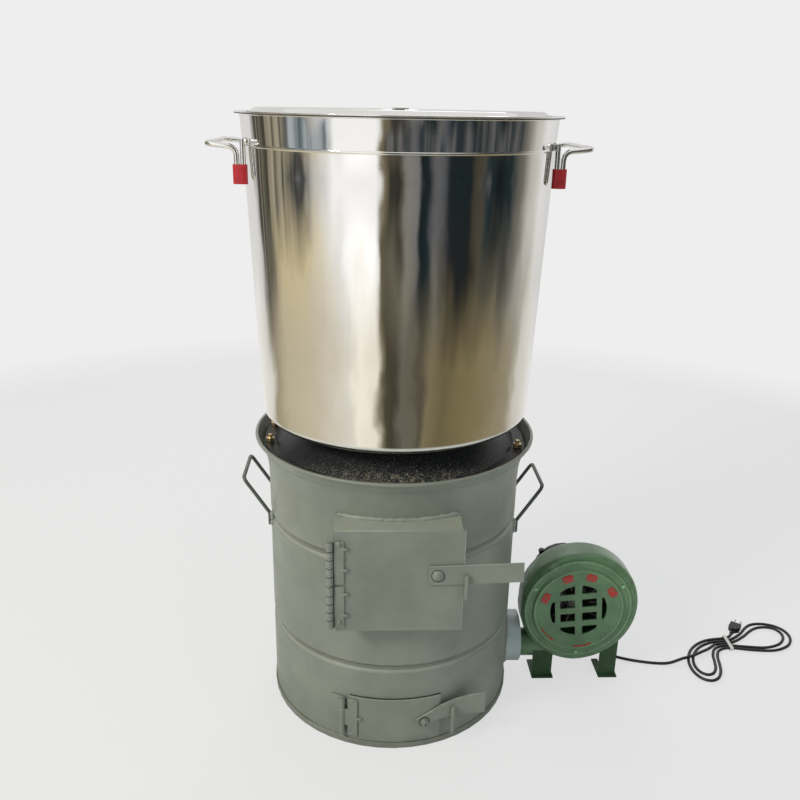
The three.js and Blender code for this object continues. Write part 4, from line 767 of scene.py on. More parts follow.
def weld_spots(name, places, look):
    """Short weld blobs, each given as a place, a direction, a length and a radius."""
    dice = random.Random(name)
    blobs = []
    for place, direction, length, radius in places:
        start = place - direction * length / 2
        points = []
        radii = []
        for i in range(SPOT_STEPS + 1):
            hump = math.sin(math.pi * (i + 0.6) / (SPOT_STEPS + 1.2))
            points.append(start + direction * length * i / SPOT_STEPS)
            radii.append(radius * hump ** 0.5 * dice.uniform(1 - WELD_SWELL_SHARE, 1 + WELD_SWELL_SHARE))
        blobs.append(tube(points, radii, 10))
    mesh_piece(name, joined(*blobs), look)


# The drum and its collar

SIDES = (("left", -1), ("right", 1))


def on_drum(paint, body="stove"):
    """The look of a piece in the drum's paint, or of painted shade on it."""
    return paint, body, "drum_paint"


def dress_drum(paint):
    for node in ("floor_pan", "collar", "ash_keeper", "fuel_keeper"):
        dress(node, on_drum(paint), SHEET_ROUNDING)
    dress("drum_shell", on_drum(paint), 0.0014, 3, math.radians(13))
    dress("fuel_chute", on_drum(make_drum_paint("chute_enamel", CHUTE_GREY, 0.1)), SHEET_ROUNDING)
    dress("air_pipe", on_drum(make_drum_paint("pipe_enamel", PIPE_GREY, 0.2)), SHEET_ROUNDING)
    handle_look = on_drum(make_drum_paint("handle_enamel", HANDLE_GREY, 0.2))
    for side, _ in SIDES:
        dress(f"{side}_handle", handle_look, 0, angle=math.radians(60))


def make_collar_hem(look):
    """The rolled hem round the collar's rim."""
    hem = ellipse(RIM_INNER_RADIUS + RIM_SHEET + 0.0006, RIM_HEIGHT - 0.0026, 0.0018, 0.0026, 12)
    mesh_piece("collar_hem", lathe(hem, COLLAR_SIDES), look)


def make_collar_blend(look):
    """The soft turn from the drum's wall into the flare of the collar."""
    foot, bend, lip = (DRUM_RADIUS + 0.0004, 0.450), (DRUM_RADIUS + 0.0008, 0.4810), (0.2357, 0.5000)
    outer = []
    for i in range(13):
        t = i / 12
        weights = (1 - t) ** 2, 2 * t * (1 - t), t * t
        outer.append(tuple(sum(w * v for w, v in zip(weights, values)) for values in zip(foot, bend, lip)))
    inner = [(0.2330, 0.4990), (DRUM_RADIUS - 0.0006, 0.4830), (DRUM_RADIUS - 0.0006, 0.4510)]
    mesh_piece("collar_blend", lathe(outer + inner, COLLAR_SIDES), look, math.radians(50))


def make_collar_lining(look):
    """The black varnish inside the collar, down to the ring."""
    inner_foot = DRUM_RADIUS - RIM_SHEET
    skin = [
        (inner_foot - 0.0005, DRUM_TOP + 0.0035), (RIM_INNER_RADIUS - 0.0016, RIM_HEIGHT - 0.0065),
        (RIM_INNER_RADIUS - 0.0008, RIM_HEIGHT - 0.0068), (inner_foot - 0.0001, DRUM_TOP + 0.0030),
    ]
    mesh_piece("collar_lining", lathe(skin, LINING_SIDES), look)


def make_drum_welds(look):
    """Welds where the chute, the pipe and the handles join the drum."""
    reach = math.degrees(math.asin(CHUTE_HALF_WIDTH / DRUM_RADIUS))
    roof = drum_arc(DRUM_RADIUS + 0.0012, -reach, reach, CHUTE_ROOF + 0.0008)
    weld_bead("chute_top_weld", roof, 0.0042, look, 0.0058)
    floor = drum_arc(DRUM_RADIUS + 0.0008, -reach, reach, CHUTE_FLOOR - 0.0005)
    weld_bead("chute_bottom_weld", floor, 0.0022, look)
    y = -math.sqrt(DRUM_RADIUS ** 2 - CHUTE_HALF_WIDTH ** 2) - 0.0008
    for side, sign in SIDES:
        x = sign * (CHUTE_HALF_WIDTH + 0.0008)
        ends = [Vector((x, y, z)) for z in (CHUTE_FLOOR + 0.004, CHUTE_ROOF - 0.004)]
        weld_bead(f"chute_{side}_weld", ends, 0.0024, look)
    ring = []
    for angle in sweep(64):
        y = PIPE_RADIUS * math.cos(angle)
        z = PIPE_HEIGHT + PIPE_RADIUS * math.sin(angle)
        ring.append(Vector((math.sqrt(DRUM_RADIUS ** 2 - y * y) + 0.001, y, z)))
    weld_bead("pipe_weld", ring, 0.0026, look)
    x = math.sqrt(DRUM_RADIUS ** 2 - HANDLE_HALF_WIDTH ** 2)
    for side, sign in SIDES:
        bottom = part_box(f"{side}_handle")[0].z
        places = []
        for y in (-HANDLE_HALF_WIDTH, HANDLE_HALF_WIDTH):
            for rise in (0.004, 0.014, 0.021):
                places.append((Vector((sign * x, y, bottom + rise)), UP, 0.011, 0.0042))
        weld_spots(f"{side}_handle_welds", places, look)


# The cast ring, its bolts and the fire's parts


def dress_ring(varnish, iron, zinc, clay):
    dress("cast_ring", (varnish, "stove", "black_iron"), 0.0012, 3)
    dress("grate", (iron, "grate", "black_iron"), 0.0010)
    for node in ("ash_lining", "ledge_ring", "fire_lining"):
        dress(node, (clay, "stove", "fire_clay"), 0)
    for number in range(1, 5):
        dress(f"ring_bolt_{number}", (zinc, "stove", "zinc"), 0.0005)


# The fuel door and the ash door

# A body, the rounding of its pieces' edges, and the pieces
DOOR_PIECES = [
    ("stove", FINE_ROUNDING, ["fuel_hinge_lower_frame_leaf", "fuel_hinge_upper_frame_leaf"]),
    ("stove", FINE_ROUNDING, ["fuel_hinge_lower_pin", "fuel_hinge_upper_pin"]),
    ("stove", FINE_ROUNDING, ["ash_hinge_wall_leaf", "ash_hinge_pin"]),
    ("fuel_door", FINE_ROUNDING, ["fuel_hinge_lower_door_leaf", "fuel_hinge_upper_door_leaf"]),
    ("fuel_door", 0.0007, ["fuel_door"]),
    ("fuel_latch", SHEET_ROUNDING, ["fuel_latch"]),
    ("ash_door", SHEET_ROUNDING, ["ash_door"]),
    ("ash_door", FINE_ROUNDING, ["ash_hinge_door_leaf"]),
    ("ash_door", 0.0004, ["ash_latch_bolt"]),
    ("ash_latch", SHEET_ROUNDING, ["ash_latch"]),
]


def dress_doors(paint):
    for body, bevel, nodes in DOOR_PIECES:
        for node in nodes:
            dress(node, on_drum(paint, body), bevel)
    dress("fuel_latch_rivet", on_drum(paint, "fuel_door"), FINE_ROUNDING, angle=math.radians(50))


def make_door_welds(paint):
    """The weld blobs that hold the hinge leaves on their doors."""
    places = []
    for z in (0.2990, 0.3375, 0.3808, 0.4179):
        places.append((Vector((-0.0850, DOOR_FRONT - 0.0012, z)), Vector((1, 0, 0)), 0.0150, 0.0030))
    for z in (0.2875, 0.4275):
        places.append((Vector((-0.0935, DOOR_LEAF_FRONT + 0.0006, z)), UP, 0.0085, 0.0040))
    weld_spots("fuel_leaf_welds", places, on_drum(paint, "fuel_door"))
    places = []
    for azimuth, height in ((-18.6, 0.096), (-18.6, 0.027), (-15.6, 0.060)):
        place = around(ASH_DOOR_RADIUS, azimuth, height)
        places.append((place, around(1, azimuth + 90, 0), 0.0120, 0.0028))
    weld_spots("ash_leaf_welds", places, on_drum(paint, "ash_door"))


def make_door_edge_highlights(look):
    """Painted highlights: strips of lighter paint along the sheared edges of the fuel door, where the paint
    is thin and catches the light.
    """
    low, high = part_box("fuel_door")
    left, right, bottom, top = low.x + 0.0006, high.x - 0.0004, low.z + 0.0004, high.z - 0.0004
    for name, start, end, radius in (
        ("top", (left, top), (right, top), 0.0009),
        ("right", (right, bottom), (right, top), 0.0009),
        ("bottom", (left, bottom), (right, bottom), 0.0007),
    ):
        ends = [Vector((x, low.y + 0.0008, z)) for x, z in (start, end)]
        mesh_piece(f"door_edge_{name}", rod(*ends, radius), look)


def make_hinge_seams(painted_shade):
    """Painted shade: dark rings in the gaps between a hinge's knuckles, and a dark rod in the gap between its
    barrel and its leaf.
    """
    for level in ("lower", "upper"):
        low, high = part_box(f"fuel_hinge_{level}_pin")
        centre = Vector(((low.x + high.x) / 2, (low.y + high.y) / 2, 0))
        bottom, top = low.z + 0.0015, high.z - 0.0015
        for gap in range(1, 5):
            z = bottom + (top - bottom) * gap / 5
            vertices, faces = lathe(ellipse(HINGE_BARREL_RADIUS, z, 0.00045, 0.0008, 8), 24)
            vertices = [vertex + centre for vertex in vertices]
            mesh_piece(f"fuel_hinge_{level}_seam_{gap}", (vertices, faces), on_drum(painted_shade))
        ends = [Vector((centre.x + 0.0060, DOOR_FRONT - 0.0022, z)) for z in (bottom, top)]
        mesh_piece(f"fuel_hinge_{level}_gap", rod(*ends, 0.0011), on_drum(painted_shade, "fuel_door"))


def make_rivet_shadow(look):
    """Painted shade: a dark ring round the latch's rivet."""
    low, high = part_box("fuel_latch_rivet")
    centre = Vector(((low.x + high.x) / 2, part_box("fuel_latch")[0].y - 0.0001, (low.z + high.z) / 2))
    ring = circle(centre, Vector((1, 0, 0)), UP, (high.x - low.x) / 2 + 0.0002, 40)
    mesh_piece("fuel_rivet_ring", tube(ring, 0.0007, 6), look)


def edge_highlights(node, look):
    """Painted highlights: thin bright lines along the front edges of a plate that face up towards the light.
    """
    work = solid_mesh(node)
    lines = []
    for edge in work.edges:
        if len(edge.link_faces) != 2:
            continue
        first, second = (face.normal for face in edge.link_faces)
        facing_up = max(first.z, second.z) >= 0.4
        at_front = min(first.y, second.y) <= -0.4
        if facing_up and at_front and first.angle(second) >= math.radians(60):
            lines.append(rod(*(vertex.co.copy() for vertex in edge.verts), 0.0005, 6))
    work.free()
    mesh_piece(f"{node}_edge", joined(*lines), look)


# Painted highlights on the upper front edges of the latches, the ash door and the hinge leaves
def make_edge_highlights(paint):
    for node, body in (
        ("fuel_latch", "fuel_latch"), ("ash_latch", "ash_latch"), ("ash_door", "ash_door"),
        ("fuel_hinge_upper_door_leaf", "fuel_door"), ("ash_hinge_door_leaf", "ash_door"),
    ):
        edge_highlights(node, on_drum(paint, body))


def make_ash_shadows(painted_shade):
    """Painted shade: a dark line in the gap over the ash door, a dark ring round its bolt and a dark cap on
    the bolt's end.
    """
    gap = drum_arc(DRUM_RADIUS + 0.0003, -20.0, 20.6, ASH_DOOR_TOP)
    mesh_piece("ash_door_gap", tube(gap, 0.0009, 6), on_drum(painted_shade))
    outward, sideways = around(1, ASH_BOLT_AZIMUTH, 0), around(1, ASH_BOLT_AZIMUTH + 90, 0)
    seat = around(ASH_WASHER_FRONT, ASH_BOLT_AZIMUTH, ASH_BOLT_HEIGHT)
    ring = tube(circle(seat, sideways, UP, ASH_WASHER_RADIUS, 32), 0.0007, 6)
    tip = around(ASH_BOLT_TIP, ASH_BOLT_AZIMUTH, ASH_BOLT_HEIGHT)
    end = tube([tip - outward * 0.0010, tip, tip + outward * 0.0003], [0.0022, 0.0021, 0.0012], 12)
    mesh_piece("ash_bolt_painted_shade", joined(ring, end), on_drum(painted_shade, "ash_door"))


# The blower

COVER_FACE = COVER_FRONT - COVER_RISE

# Raised pads on the cover in place of lettering: angle from the right in degrees, radius, half sizes
COVER_PADS = [
    (157, 0.0705, 0.0110, 0.0070), (111, 0.0735, 0.0105, 0.0075), (75, 0.0735, 0.0105, 0.0075),
    (33, 0.0735, 0.0110, 0.0075),
]
# A pad's width as a share of the whole, and its place along Y from the cover's face
PAD_LEVELS = [(1.0, 0.0006), (1.0, -0.0006), (0.86, -0.0012), (0.4, -0.0013)]
PAD_ROUND_SHARE = 0.45
ARROW_HEAD_SHARE = 0.30
ARROW_STEPS = 18
RIBS = 7
RIB_DEPTH = 0.0009
RIB_START_SHARE = 0.25
GLAND_STEPS = 52


def on_blower(material, slot="blower_paint"):
    return material, "blower", slot


def dress_blower(green, black, steel, fan_steel):
    dress("blower_cover", on_blower(green), 0.0007, 2, math.radians(30))
    foot_green = make_green_paint("foot_gloss", 0.42, 0.05)
    for side, _ in SIDES:
        dress(f"{side}_foot", on_blower(foot_green), 0.0008)
    screw_paint = make_green_paint("screw_gloss", 2.2)
    for number in (1, 2, 3):
        dress(f"cover_screw_{number}", on_blower(screw_paint, "bright_steel"), 0.0004)
    dress("impeller", (fan_steel, "impeller", "fan_steel"), FINE_ROUNDING)
    dress("motor_shaft", (steel, "impeller", "bright_steel"), FINE_ROUNDING)
    dress("motor_body", on_blower(black, "motor_black"), SHEET_ROUNDING)
    dress("motor_cap", on_blower(black, "motor_black"), 0.0020, 3)


def scroll_radius(angle):
    """The casing's reach at an angle from its left side, over the top and round."""
    growth = SCROLL_BOTTOM - SCROLL_LEFT
    widest = math.pi * 1.5
    if angle <= widest:
        return SCROLL_LEFT + growth * math.sin(angle / widest * math.pi / 2)
    return SCROLL_BOTTOM - growth * (angle - widest) / (FULL_TURN - widest)


def casing_levels():
    """Pairs of depth and draw-in from the mouth at the back, over both shoulders, to the cover's seat."""
    levels = []
    for angle in sweep(8, 0, math.pi / 2):
        depth = CASING_HALF_DEPTH * (CASING_FLAT_SHARE + (1 - CASING_FLAT_SHARE) * math.cos(angle))
        levels.append((depth, CASING_SHOULDER * (1 - math.sin(angle))))
    return levels + [(-depth, draw) for depth, draw in reversed(levels)]


def scroll_ring(reach):
    """The casing's wall at one place round it, outside and back inside, as pairs of radius and depth."""
    levels = casing_levels()
    ring = [(MOTOR_MOUTH_RADIUS, CASING_HALF_DEPTH)]
    for depth, draw in levels:
        radius = reach - draw
        if depth < -COVER_SEAT:
            radius = max(radius, COVER_RADIUS)
        ring.append((radius, depth))
    for depth, draw in reversed(levels):
        if depth <= -CASING_HALF_DEPTH * 0.99:
            ring.append((DISC_RADIUS, depth))
        else:
            ring.append((reach - draw - CASING_WALL, depth * (1 - CASING_WALL / CASING_HALF_DEPTH)))
    ring.append((MOTOR_MOUTH_RADIUS, CASING_HALF_DEPTH - CASING_WALL))
    return ring


def outlet_profile():
    """The outlet tube's wall as pairs of place along it and radius, with a rounded mouth."""
    outer, inner, edge = OUTLET_RADIUS, OUTLET_RADIUS - OUTLET_WALL, 0.0008
    return [
        (-OUTLET_ROOT, outer), (-OUTLET_LENGTH + edge, outer), (-OUTLET_LENGTH, outer - edge),
        (-OUTLET_LENGTH, inner + edge), (-OUTLET_LENGTH + edge, inner), (-OUTLET_ROOT, inner),
    ]


def make_casing(look):
    """The smooth scroll of the casing with its outlet tube."""
    scroll = []
    for angle in turn(SCROLL_SIDES):
        across, up = -math.cos(angle), math.sin(angle)
        ring = scroll_ring(scroll_radius(angle))
        scroll += [FAN_AXIS + Vector((across * radius, depth, up * radius)) for radius, depth in ring]
    scroll_faces = grid_faces(SCROLL_SIDES, len(ring))
    outlet = []
    for angle in turn(OUTLET_SIDES):
        for x, radius in outlet_profile():
            up = OUTLET_RADIUS - SCROLL_BOTTOM + radius * math.sin(angle)
            outlet.append(FAN_AXIS + Vector((x, radius * math.cos(angle), up)))
    outlet_faces = grid_faces(OUTLET_SIDES, len(outlet_profile()))
    skin = joined((scroll, scroll_faces), (outlet, outlet_faces))
    piece = mesh_piece("casing_skin", skin, look, math.radians(42))
    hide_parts("blower_casing")


def make_cover_lip(look):
    """The pressed edges of the cover and of its raised disc, thick soft steps that catch the light."""
    for name, radius, place, thickness in (
        ("disc_lip", DISC_RADIUS - COVER_RISE + 0.0004, COVER_FACE + 0.0009, 0.0022),
        ("cover_lip", COVER_RADIUS - 0.0016, COVER_FRONT + 0.0008, 0.0026),
    ):
        vertices, faces = lathe(ellipse(radius, 0, thickness, thickness, 12), COVER_SIDES)
        vertices = [FAN_AXIS + Vector((v.x, place + v.z, v.y)) for v in vertices]
        mesh_piece(name, (vertices, faces), look)


def cover_pad(degrees, radius, half_width, half_height):
    """A pad on the cover with rounded corners, narrower towards its front."""
    outward = on_cover(degrees, 1) - on_cover(degrees, 0)
    sideways = Vector((-outward.z, 0, outward.x))
    rings = []
    for share, rise in PAD_LEVELS:
        ring = []
        for angle in turn(24):
            c, s = math.cos(angle), math.sin(angle)
            x = math.copysign(abs(c) ** PAD_ROUND_SHARE, c) * half_width * share
            z = math.copysign(abs(s) ** PAD_ROUND_SHARE, s) * half_height * share
            ring.append(on_cover(degrees, radius) + sideways * x + outward * z + Vector((0, rise, 0)))
        rings.append(ring)
    return capped(rings)


def on_cover(degrees, radius):
    """A place on the cover's face, at an angle from its right."""
    angle = math.radians(degrees)
    return FAN_AXIS + Vector((radius * math.cos(angle), COVER_FACE, radius * math.sin(angle)))


def make_cover_marks(look):
    """Pads raised on the cover, with worn red paint, and a curved arrow that shows the fan's turn."""
    for number, pad in enumerate(COVER_PADS, 1):
        mesh_piece(f"cover_pad_{number}", cover_pad(*pad), look, math.radians(50))
    arrow = [on_cover(degrees, ARROW_RADIUS) for degrees in sweep(ARROW_STEPS, 208, 32)]
    radii = []
    for i in range(ARROW_STEPS + 1):
        left = (1 - i / ARROW_STEPS) / ARROW_HEAD_SHARE
        radii.append(0.0011 if left > 1 else 0.0026 * left + 0.0002)
    mesh_piece("cover_arrow", tube(arrow, radii, 8), look, math.radians(60))
    bar = [on_cover(degrees, BAR_RADIUS) for degrees in sweep(8, 266, 28)]
    mesh_piece("cover_bar", tube(bar, [0.0004, *[0.0016] * 7, 0.0004], 8), look, math.radians(60))


def make_strain_relief(look):
    """The ribbed, tapered sleeve on the cord, with its hexagon nut."""
    direction = Vector((math.cos(GLAND_ANGLE), 0, -math.sin(GLAND_ANGLE)))
    tip = Vector(CORD_ROUTE[0]) - direction * CLEARANCE
    root = tip - direction * GLAND_LENGTH
    points = []
    radii = []
    for i in range(GLAND_STEPS + 1):
        share = i / GLAND_STEPS
        wave = 0.5 - 0.5 * math.cos(share * FULL_TURN * RIBS)
        groove = RIB_DEPTH * wave if share > RIB_START_SHARE else 0
        points.append(root.lerp(tip, share))
        radii.append(GLAND_RADIUS + (GLAND_TIP_RADIUS - GLAND_RADIUS) * share - groove)
    nut_places = [root + direction * place for place in (0, 0.0008, 0.0044, 0.005)]
    nut = tube(nut_places, [0.0098, 0.0105, 0.0105, 0.0096], 6)
    piece = mesh_piece("strain_relief", joined(tube(points, radii, 20), nut), look, math.radians(30))
    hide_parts("cable_gland")


# The pot and its lid

LID_FLOOR = POT_RIM + CLEARANCE


def pot_wall_radius(height):
    share = (height - POT_FLOOR) / (POT_RIM - POT_FLOOR)
    return POT_BOTTOM_RADIUS + (POT_TOP_RADIUS - POT_BOTTOM_RADIUS) * share


def pot_skin(offset):
    """The pot's outline from its floor's edge to its bead, moved in by an offset."""
    wall_foot, bead = POT_FLOOR + POT_CORNER, POT_RIM - BEAD_DROP
    corner = pot_wall_radius(wall_foot) - POT_CORNER
    points = arc(corner, wall_foot, POT_CORNER - offset, -math.pi / 2, math.pi / 2, 12)
    for i in range(1, 12):
        height = wall_foot + (bead - BEAD_HALF_HEIGHT - wall_foot) * i / 12
        points.append((pot_wall_radius(height) - offset, height))
    for i in range(13):
        share = i / 6 - 1
        height = bead + share * BEAD_HALF_HEIGHT
        rise = BEAD_RISE * math.cos(share * math.pi / 2) ** 2
        points.append((pot_wall_radius(height) - offset + rise, height))
    return points


def make_pot(look):
    rim = pot_wall_radius(POT_RIM)
    half = ROLL_RADIUS / 2
    roll = arc(rim + half, POT_RIM - half, half, -math.pi / 2, math.pi * 1.5, 12)
    profile = [(0, POT_FLOOR), *pot_skin(0), *roll, (rim - POT_SHEET, POT_RIM - 0.0006)]
    profile += [*reversed(pot_skin(POT_SHEET)), (0, POT_FLOOR + POT_SHEET)]
    piece = mesh_piece("pot_skin", lathe(profile, POT_SIDES), look, math.radians(30))
    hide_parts("pot")


def make_lid(look):
    floor, top = LID_FLOOR, LID_FLOOR + PLATEAU_RISE
    well = top - WELL_DEPTH
    top_back, well_back = top - LID_SHEET, well - LID_SHEET
    skirt = POT_TOP_RADIUS - POT_SHEET - SKIRT_GAP
    edge = arc(LID_RADIUS - 0.0012, floor + 0.0012, 0.0012, math.pi / 2, -math.pi, 8)
    slope = (WELL_RADIUS - WELL_SLOPE, well), (WELL_RADIUS, top)
    upper = [
        (0, well), slope[0], *fillet(*slope, 0.0025),
        (PLATEAU_RADIUS - 0.0110, top), (PLATEAU_RADIUS - 0.0085, top - 0.0006),
        (PLATEAU_RADIUS - 0.0062, top - 0.0022), (PLATEAU_RADIUS - 0.0012, floor + 0.0030),
        (PLATEAU_RADIUS + 0.0008, floor + 0.0018), (PLATEAU_RADIUS + 0.0030, floor + LID_SHEET),
    ]
    lower = [
        (skirt, floor), (skirt, floor - SKIRT_DEPTH), (skirt - LID_SHEET, floor - SKIRT_DEPTH),
        (skirt - LID_SHEET, floor), (PLATEAU_RADIUS - 0.0015, floor), (PLATEAU_RADIUS - 0.0095, top_back),
        (WELL_RADIUS + LID_SHEET, top_back), (WELL_RADIUS - 0.0061, well_back), (0, well_back),
    ]
    piece = mesh_piece("lid_skin", lathe(upper + edge + lower, POT_SIDES), look, math.radians(30))
    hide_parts("pot_lid")
    dress("lid_handle", look, 0.0009, 3)


def fillet(first, second, bend):
    """Two corner points drawn in from the ends of a slope, and one past its end, so that it turns softly."""
    start, end = Vector((*first, 0)), Vector((*second, 0))
    along = (end - start).normalized()
    inner = start + along * bend
    outer = end - along * bend
    return [(inner.x, inner.y), (outer.x, outer.y), (end.x + bend, end.y)]


def make_lid_shadows(look):
    """Painted shade: the dark line under the lid's edge, and a dark line in the foot of its step."""
    under = [
        (LID_RADIUS - 0.0062, LID_FLOOR + 0.0001), (LID_RADIUS - 0.0062, LID_FLOOR - 0.0014),
        (LID_RADIUS - 0.0008, LID_FLOOR - 0.0012), (LID_RADIUS - 0.0005, LID_FLOOR + 0.0001),
    ]
    mesh_piece("lid_edge_line", lathe(under, LID_LINE_SIDES), look, math.radians(40))
    foot = ellipse(PLATEAU_RADIUS + 0.0020, LID_FLOOR + 0.0015, 0.0006, 0.0005, 8)
    mesh_piece("lid_step_line", lathe(foot, LID_LINE_SIDES), look)


def dress_pot_handles(steel, red):
    """The rod handles with their sleeves, which the polished wall doesn't mirror, and their welds."""
    steel_look = (steel, "pot", "stainless")
    wall = math.sqrt(POT_HANDLE_WALL_RADIUS ** 2 - POT_HANDLE_HALF_WIDTH ** 2)
    for side, sign in SIDES:
        dress(f"pot_{side}_handle", steel_look, 0, angle=math.radians(60))
        for end in ("front", "back"):
            sleeve = dress(f"pot_{side}_{end}_sleeve", (red, "pot", "red_plastic"), 0.0012, 3)
            sleeve.visible_glossy = False
        places = []
        for y in (-POT_HANDLE_HALF_WIDTH, POT_HANDLE_HALF_WIDTH):
            places.append((Vector((sign * (wall + 0.002), y, POT_HANDLE_WELD)), UP, 0.0115, 0.0050))
        weld_spots(f"pot_{side}_handle_welds", places, steel_look)


# The room: plain floor and light, and what a mirror-bright pot has to reflect

FLOOR_PALE = (0.80, 0.80, 0.795)
BACKGROUND = (0.855, 0.855, 0.855)
LIGHT_COLOUR = (0.94, 1.0, 0.985)
LIGHT_STRENGTH = 0.42
FLOOR_SHOWN_SHARE = 0.72
ROOM_RADIUS = 2.0
ROOM_HEIGHT = 2.4


def grey(value, warm=0.0):
    return (value * (1 + 0.6 * warm), value, value * (1 - 1.35 * warm))


def teal(value):
    return (value * 0.62, value, value * 1.12)


# Bright windows, dark doorways and pale walls round the stove: azimuth in degrees, colour
ROOM_HIGH = [
    (-180, grey(0.66, 0.04)), (-128, grey(0.82)), (-122, grey(0.15, 0.12)), (-102, grey(0.20, 0.2)),
    (-95, grey(0.30, 0.18)), (-84, grey(0.09, 0.08)), (-68, grey(0.07)), (-63, grey(0.45, 0.05)),
    (-56, grey(0.70)), (-47, grey(1.10)), (-16, grey(1.10)), (-13, grey(0.20, 0.28)), (-9, grey(0.045, 0.15)),
    (-1, grey(0.035, 0.15)), (3, grey(0.24, 0.08)), (10, grey(0.20)), (12, teal(0.018)), (18, teal(0.023)),
    (22, grey(0.14)), (29, grey(0.10, -0.10)), (33, teal(0.022)), (48, teal(0.021)), (51, grey(0.045, 0.20)),
    (57, grey(0.070, 0.18)), (61, teal(0.040)), (68, teal(0.014)), (82, teal(0.032)), (94, grey(0.18, 0.10)),
    (106, grey(0.60, 0.06)), (122, grey(0.85)), (160, grey(0.62)), (180, grey(0.72)),
]
ROOM_LOW = [
    (-180, grey(0.70)), (-140, grey(0.86, 0.03)), (-126, grey(0.70, 0.04)), (-116, grey(0.14, 0.14)),
    (-106, grey(0.16, 0.20)), (-97, grey(0.55, 0.30)), (-70, grey(0.60, 0.28)), (-56, grey(0.80, 0.14)),
    (-40, grey(1.0)), (-34, grey(1.35)), (-16, grey(1.35)), (-13, grey(0.10, 0.3)), (-8, grey(0.13, 0.22)),
    (5, grey(0.22, 0.16)), (10, grey(0.09)), (13, teal(0.020)), (20, teal(0.034)), (25, grey(0.16)),
    (32, grey(0.02, -0.1)), (48, grey(0.02)), (56, grey(0.08, 0.22)), (68, grey(0.12, 0.20)),
    (80, grey(0.12, 0.16)), (94, grey(0.32, 0.10)), (108, grey(0.50, 0.06)), (122, grey(0.80, 0.02)),
    (160, grey(0.62)), (180, grey(0.70)),
]
ROOM_FLOOR = [
    (-180, grey(0.66, 0.03)), (-150, grey(0.90, 0.02)), (-122, grey(0.78, 0.06)), (-112, grey(0.34, 0.22)),
    (-96, grey(0.52, 0.20)), (-70, grey(0.58, 0.18)), (-50, grey(0.68, 0.13)), (-36, grey(0.80, 0.08)),
    (-30, grey(1.0, 0.10)), (-18, grey(0.90, 0.10)), (-13, grey(0.22, 0.24)), (-9, grey(0.07, 0.25)),
    (-3, grey(0.06, 0.22)), (3, grey(0.15, 0.16)), (11, grey(0.14, 0.2)), (15, grey(0.09, 0.2)),
    (22, grey(0.20, 0.32)), (34, grey(0.14, 0.34)), (46, grey(0.17, 0.38)), (62, grey(0.20, 0.36)),
    (84, grey(0.26, 0.28)), (100, grey(0.32, 0.20)), (112, grey(0.66, 0.08)), (140, grey(0.84, 0.02)),
    (180, grey(0.66, 0.03)),
]


def azimuth_ramp(finish, azimuth, stops):
    return finish.ramp(azimuth, [((degrees + 180) / 360, colour) for degrees, colour in stops])


def room_azimuth(finish, wobble):
    """The azimuth as a share of the full turn, 0.5 at the front, with uneven edges."""
    angle = finish.math("ARCTAN2", finish.axis(0), finish.times(finish.axis(1), -1.0))
    share = finish.math("MULTIPLY_ADD", angle, 1 / FULL_TURN, 0.5)
    drift = finish.span(finish.noise(2.2, 3.0, 0.5, (1.0, 1.0, 1.6)), 0.0, 1.0, -wobble, wobble)
    return finish.math("ADD", share, drift)


def room_strip(finish, *edges):
    """A strip round the stove between two edges, each a radius and a height, that only reflections show."""
    vertices = []
    faces = []
    for i in range(ROOM_SIDES):
        vertices += [around(radius, 360 * i / ROOM_SIDES, height) for radius, height in edges]
        a, b = 2 * i, 2 * ((i + 1) % ROOM_SIDES)
        faces.append((a, b, b + 1, a + 1))
    finish.tree.nodes.remove(finish.shader)
    strip = stage_mesh(finish, vertices, faces)
    strip.visible_camera = False
    strip.visible_diffuse = False
    strip.visible_shadow = False
    strip.visible_transmission = False
    strip.visible_volume_scatter = False


def stage_mesh(finish, vertices, faces):
    """A plain mesh of the stage, named after its finish."""
    mesh = bpy.data.meshes.new(finish.material.name)
    mesh.from_pydata(vertices, [], faces)
    mesh.materials.append(finish.material)
    piece = new_object(mesh.name, mesh)
    return piece


def make_room_wall():
    wall = Finish("room_wall")
    azimuth = room_azimuth(wall, 0.018)
    height = wall.math("ADD", wall.axis(2), wall.span(wall.noise(1.6, 2.0), 0.3, 0.7, -0.14, 0.14))
    high = azimuth_ramp(wall, azimuth, ROOM_HIGH)
    folds = wall.span(wall.noise(7.0, 2.0, 0.5, (1.0, 1.0, 0.03)), 0.42, 0.56, 0.35, 1.35)
    beside = wall.between(azimuth, (0.150, 0.165), (0.285, 0.300))
    high = wall.mix(beside, high, wall.tinted(high, folds))
    upper = wall.span(height, 0.70, 0.82)
    pleats = wall.span(wall.noise(6.0, 3.0, 0.6, (1.0, 1.0, 0.04)), 0.38, 0.62)
    window = wall.between(azimuth, (0.268, 0.282), (0.355, 0.372))
    curtain = wall.mix(pleats, (0.10, 0.135, 0.16), (0.44, 0.48, 0.50))
    high = wall.mix(wall.times(upper, window), high, curtain)
    dark_side = wall.between(azimuth, (0.466, 0.474), (0.72, 0.76))
    shelves = wall.mix(pleats, (0.030, 0.040, 0.048), (0.19, 0.185, 0.18))
    high = wall.mix(wall.times(upper, wall.times(dark_side, 0.8)), high, shelves)
    ground = azimuth_ramp(wall, azimuth, ROOM_FLOOR)
    low = wall.mix(wall.span(height, 0.05, 0.42), ground, azimuth_ramp(wall, azimuth, ROOM_LOW))
    wall.put(wall.surface, wall.glow(wall.mix(wall.span(height, 0.36, 0.64), low, high)))
    room_strip(wall, (ROOM_RADIUS, 0.0), (ROOM_RADIUS, ROOM_HEIGHT))


def make_room_floor():
    """The beige floor of the room, which only reflections show, fading out towards the stove."""
    rug = Finish("room_floor")
    colour = azimuth_ramp(rug, room_azimuth(rug, 0.03), ROOM_FLOOR)
    clear = rug.add("ShaderNodeBsdfTransparent").outputs["BSDF"]
    rug.show(rug.span(rug.radius(), 0.75, 1.25), clear, rug.glow(colour))
    room_strip(rug, (ROOM_RADIUS, 0.0006), (0.7, 0.0006))


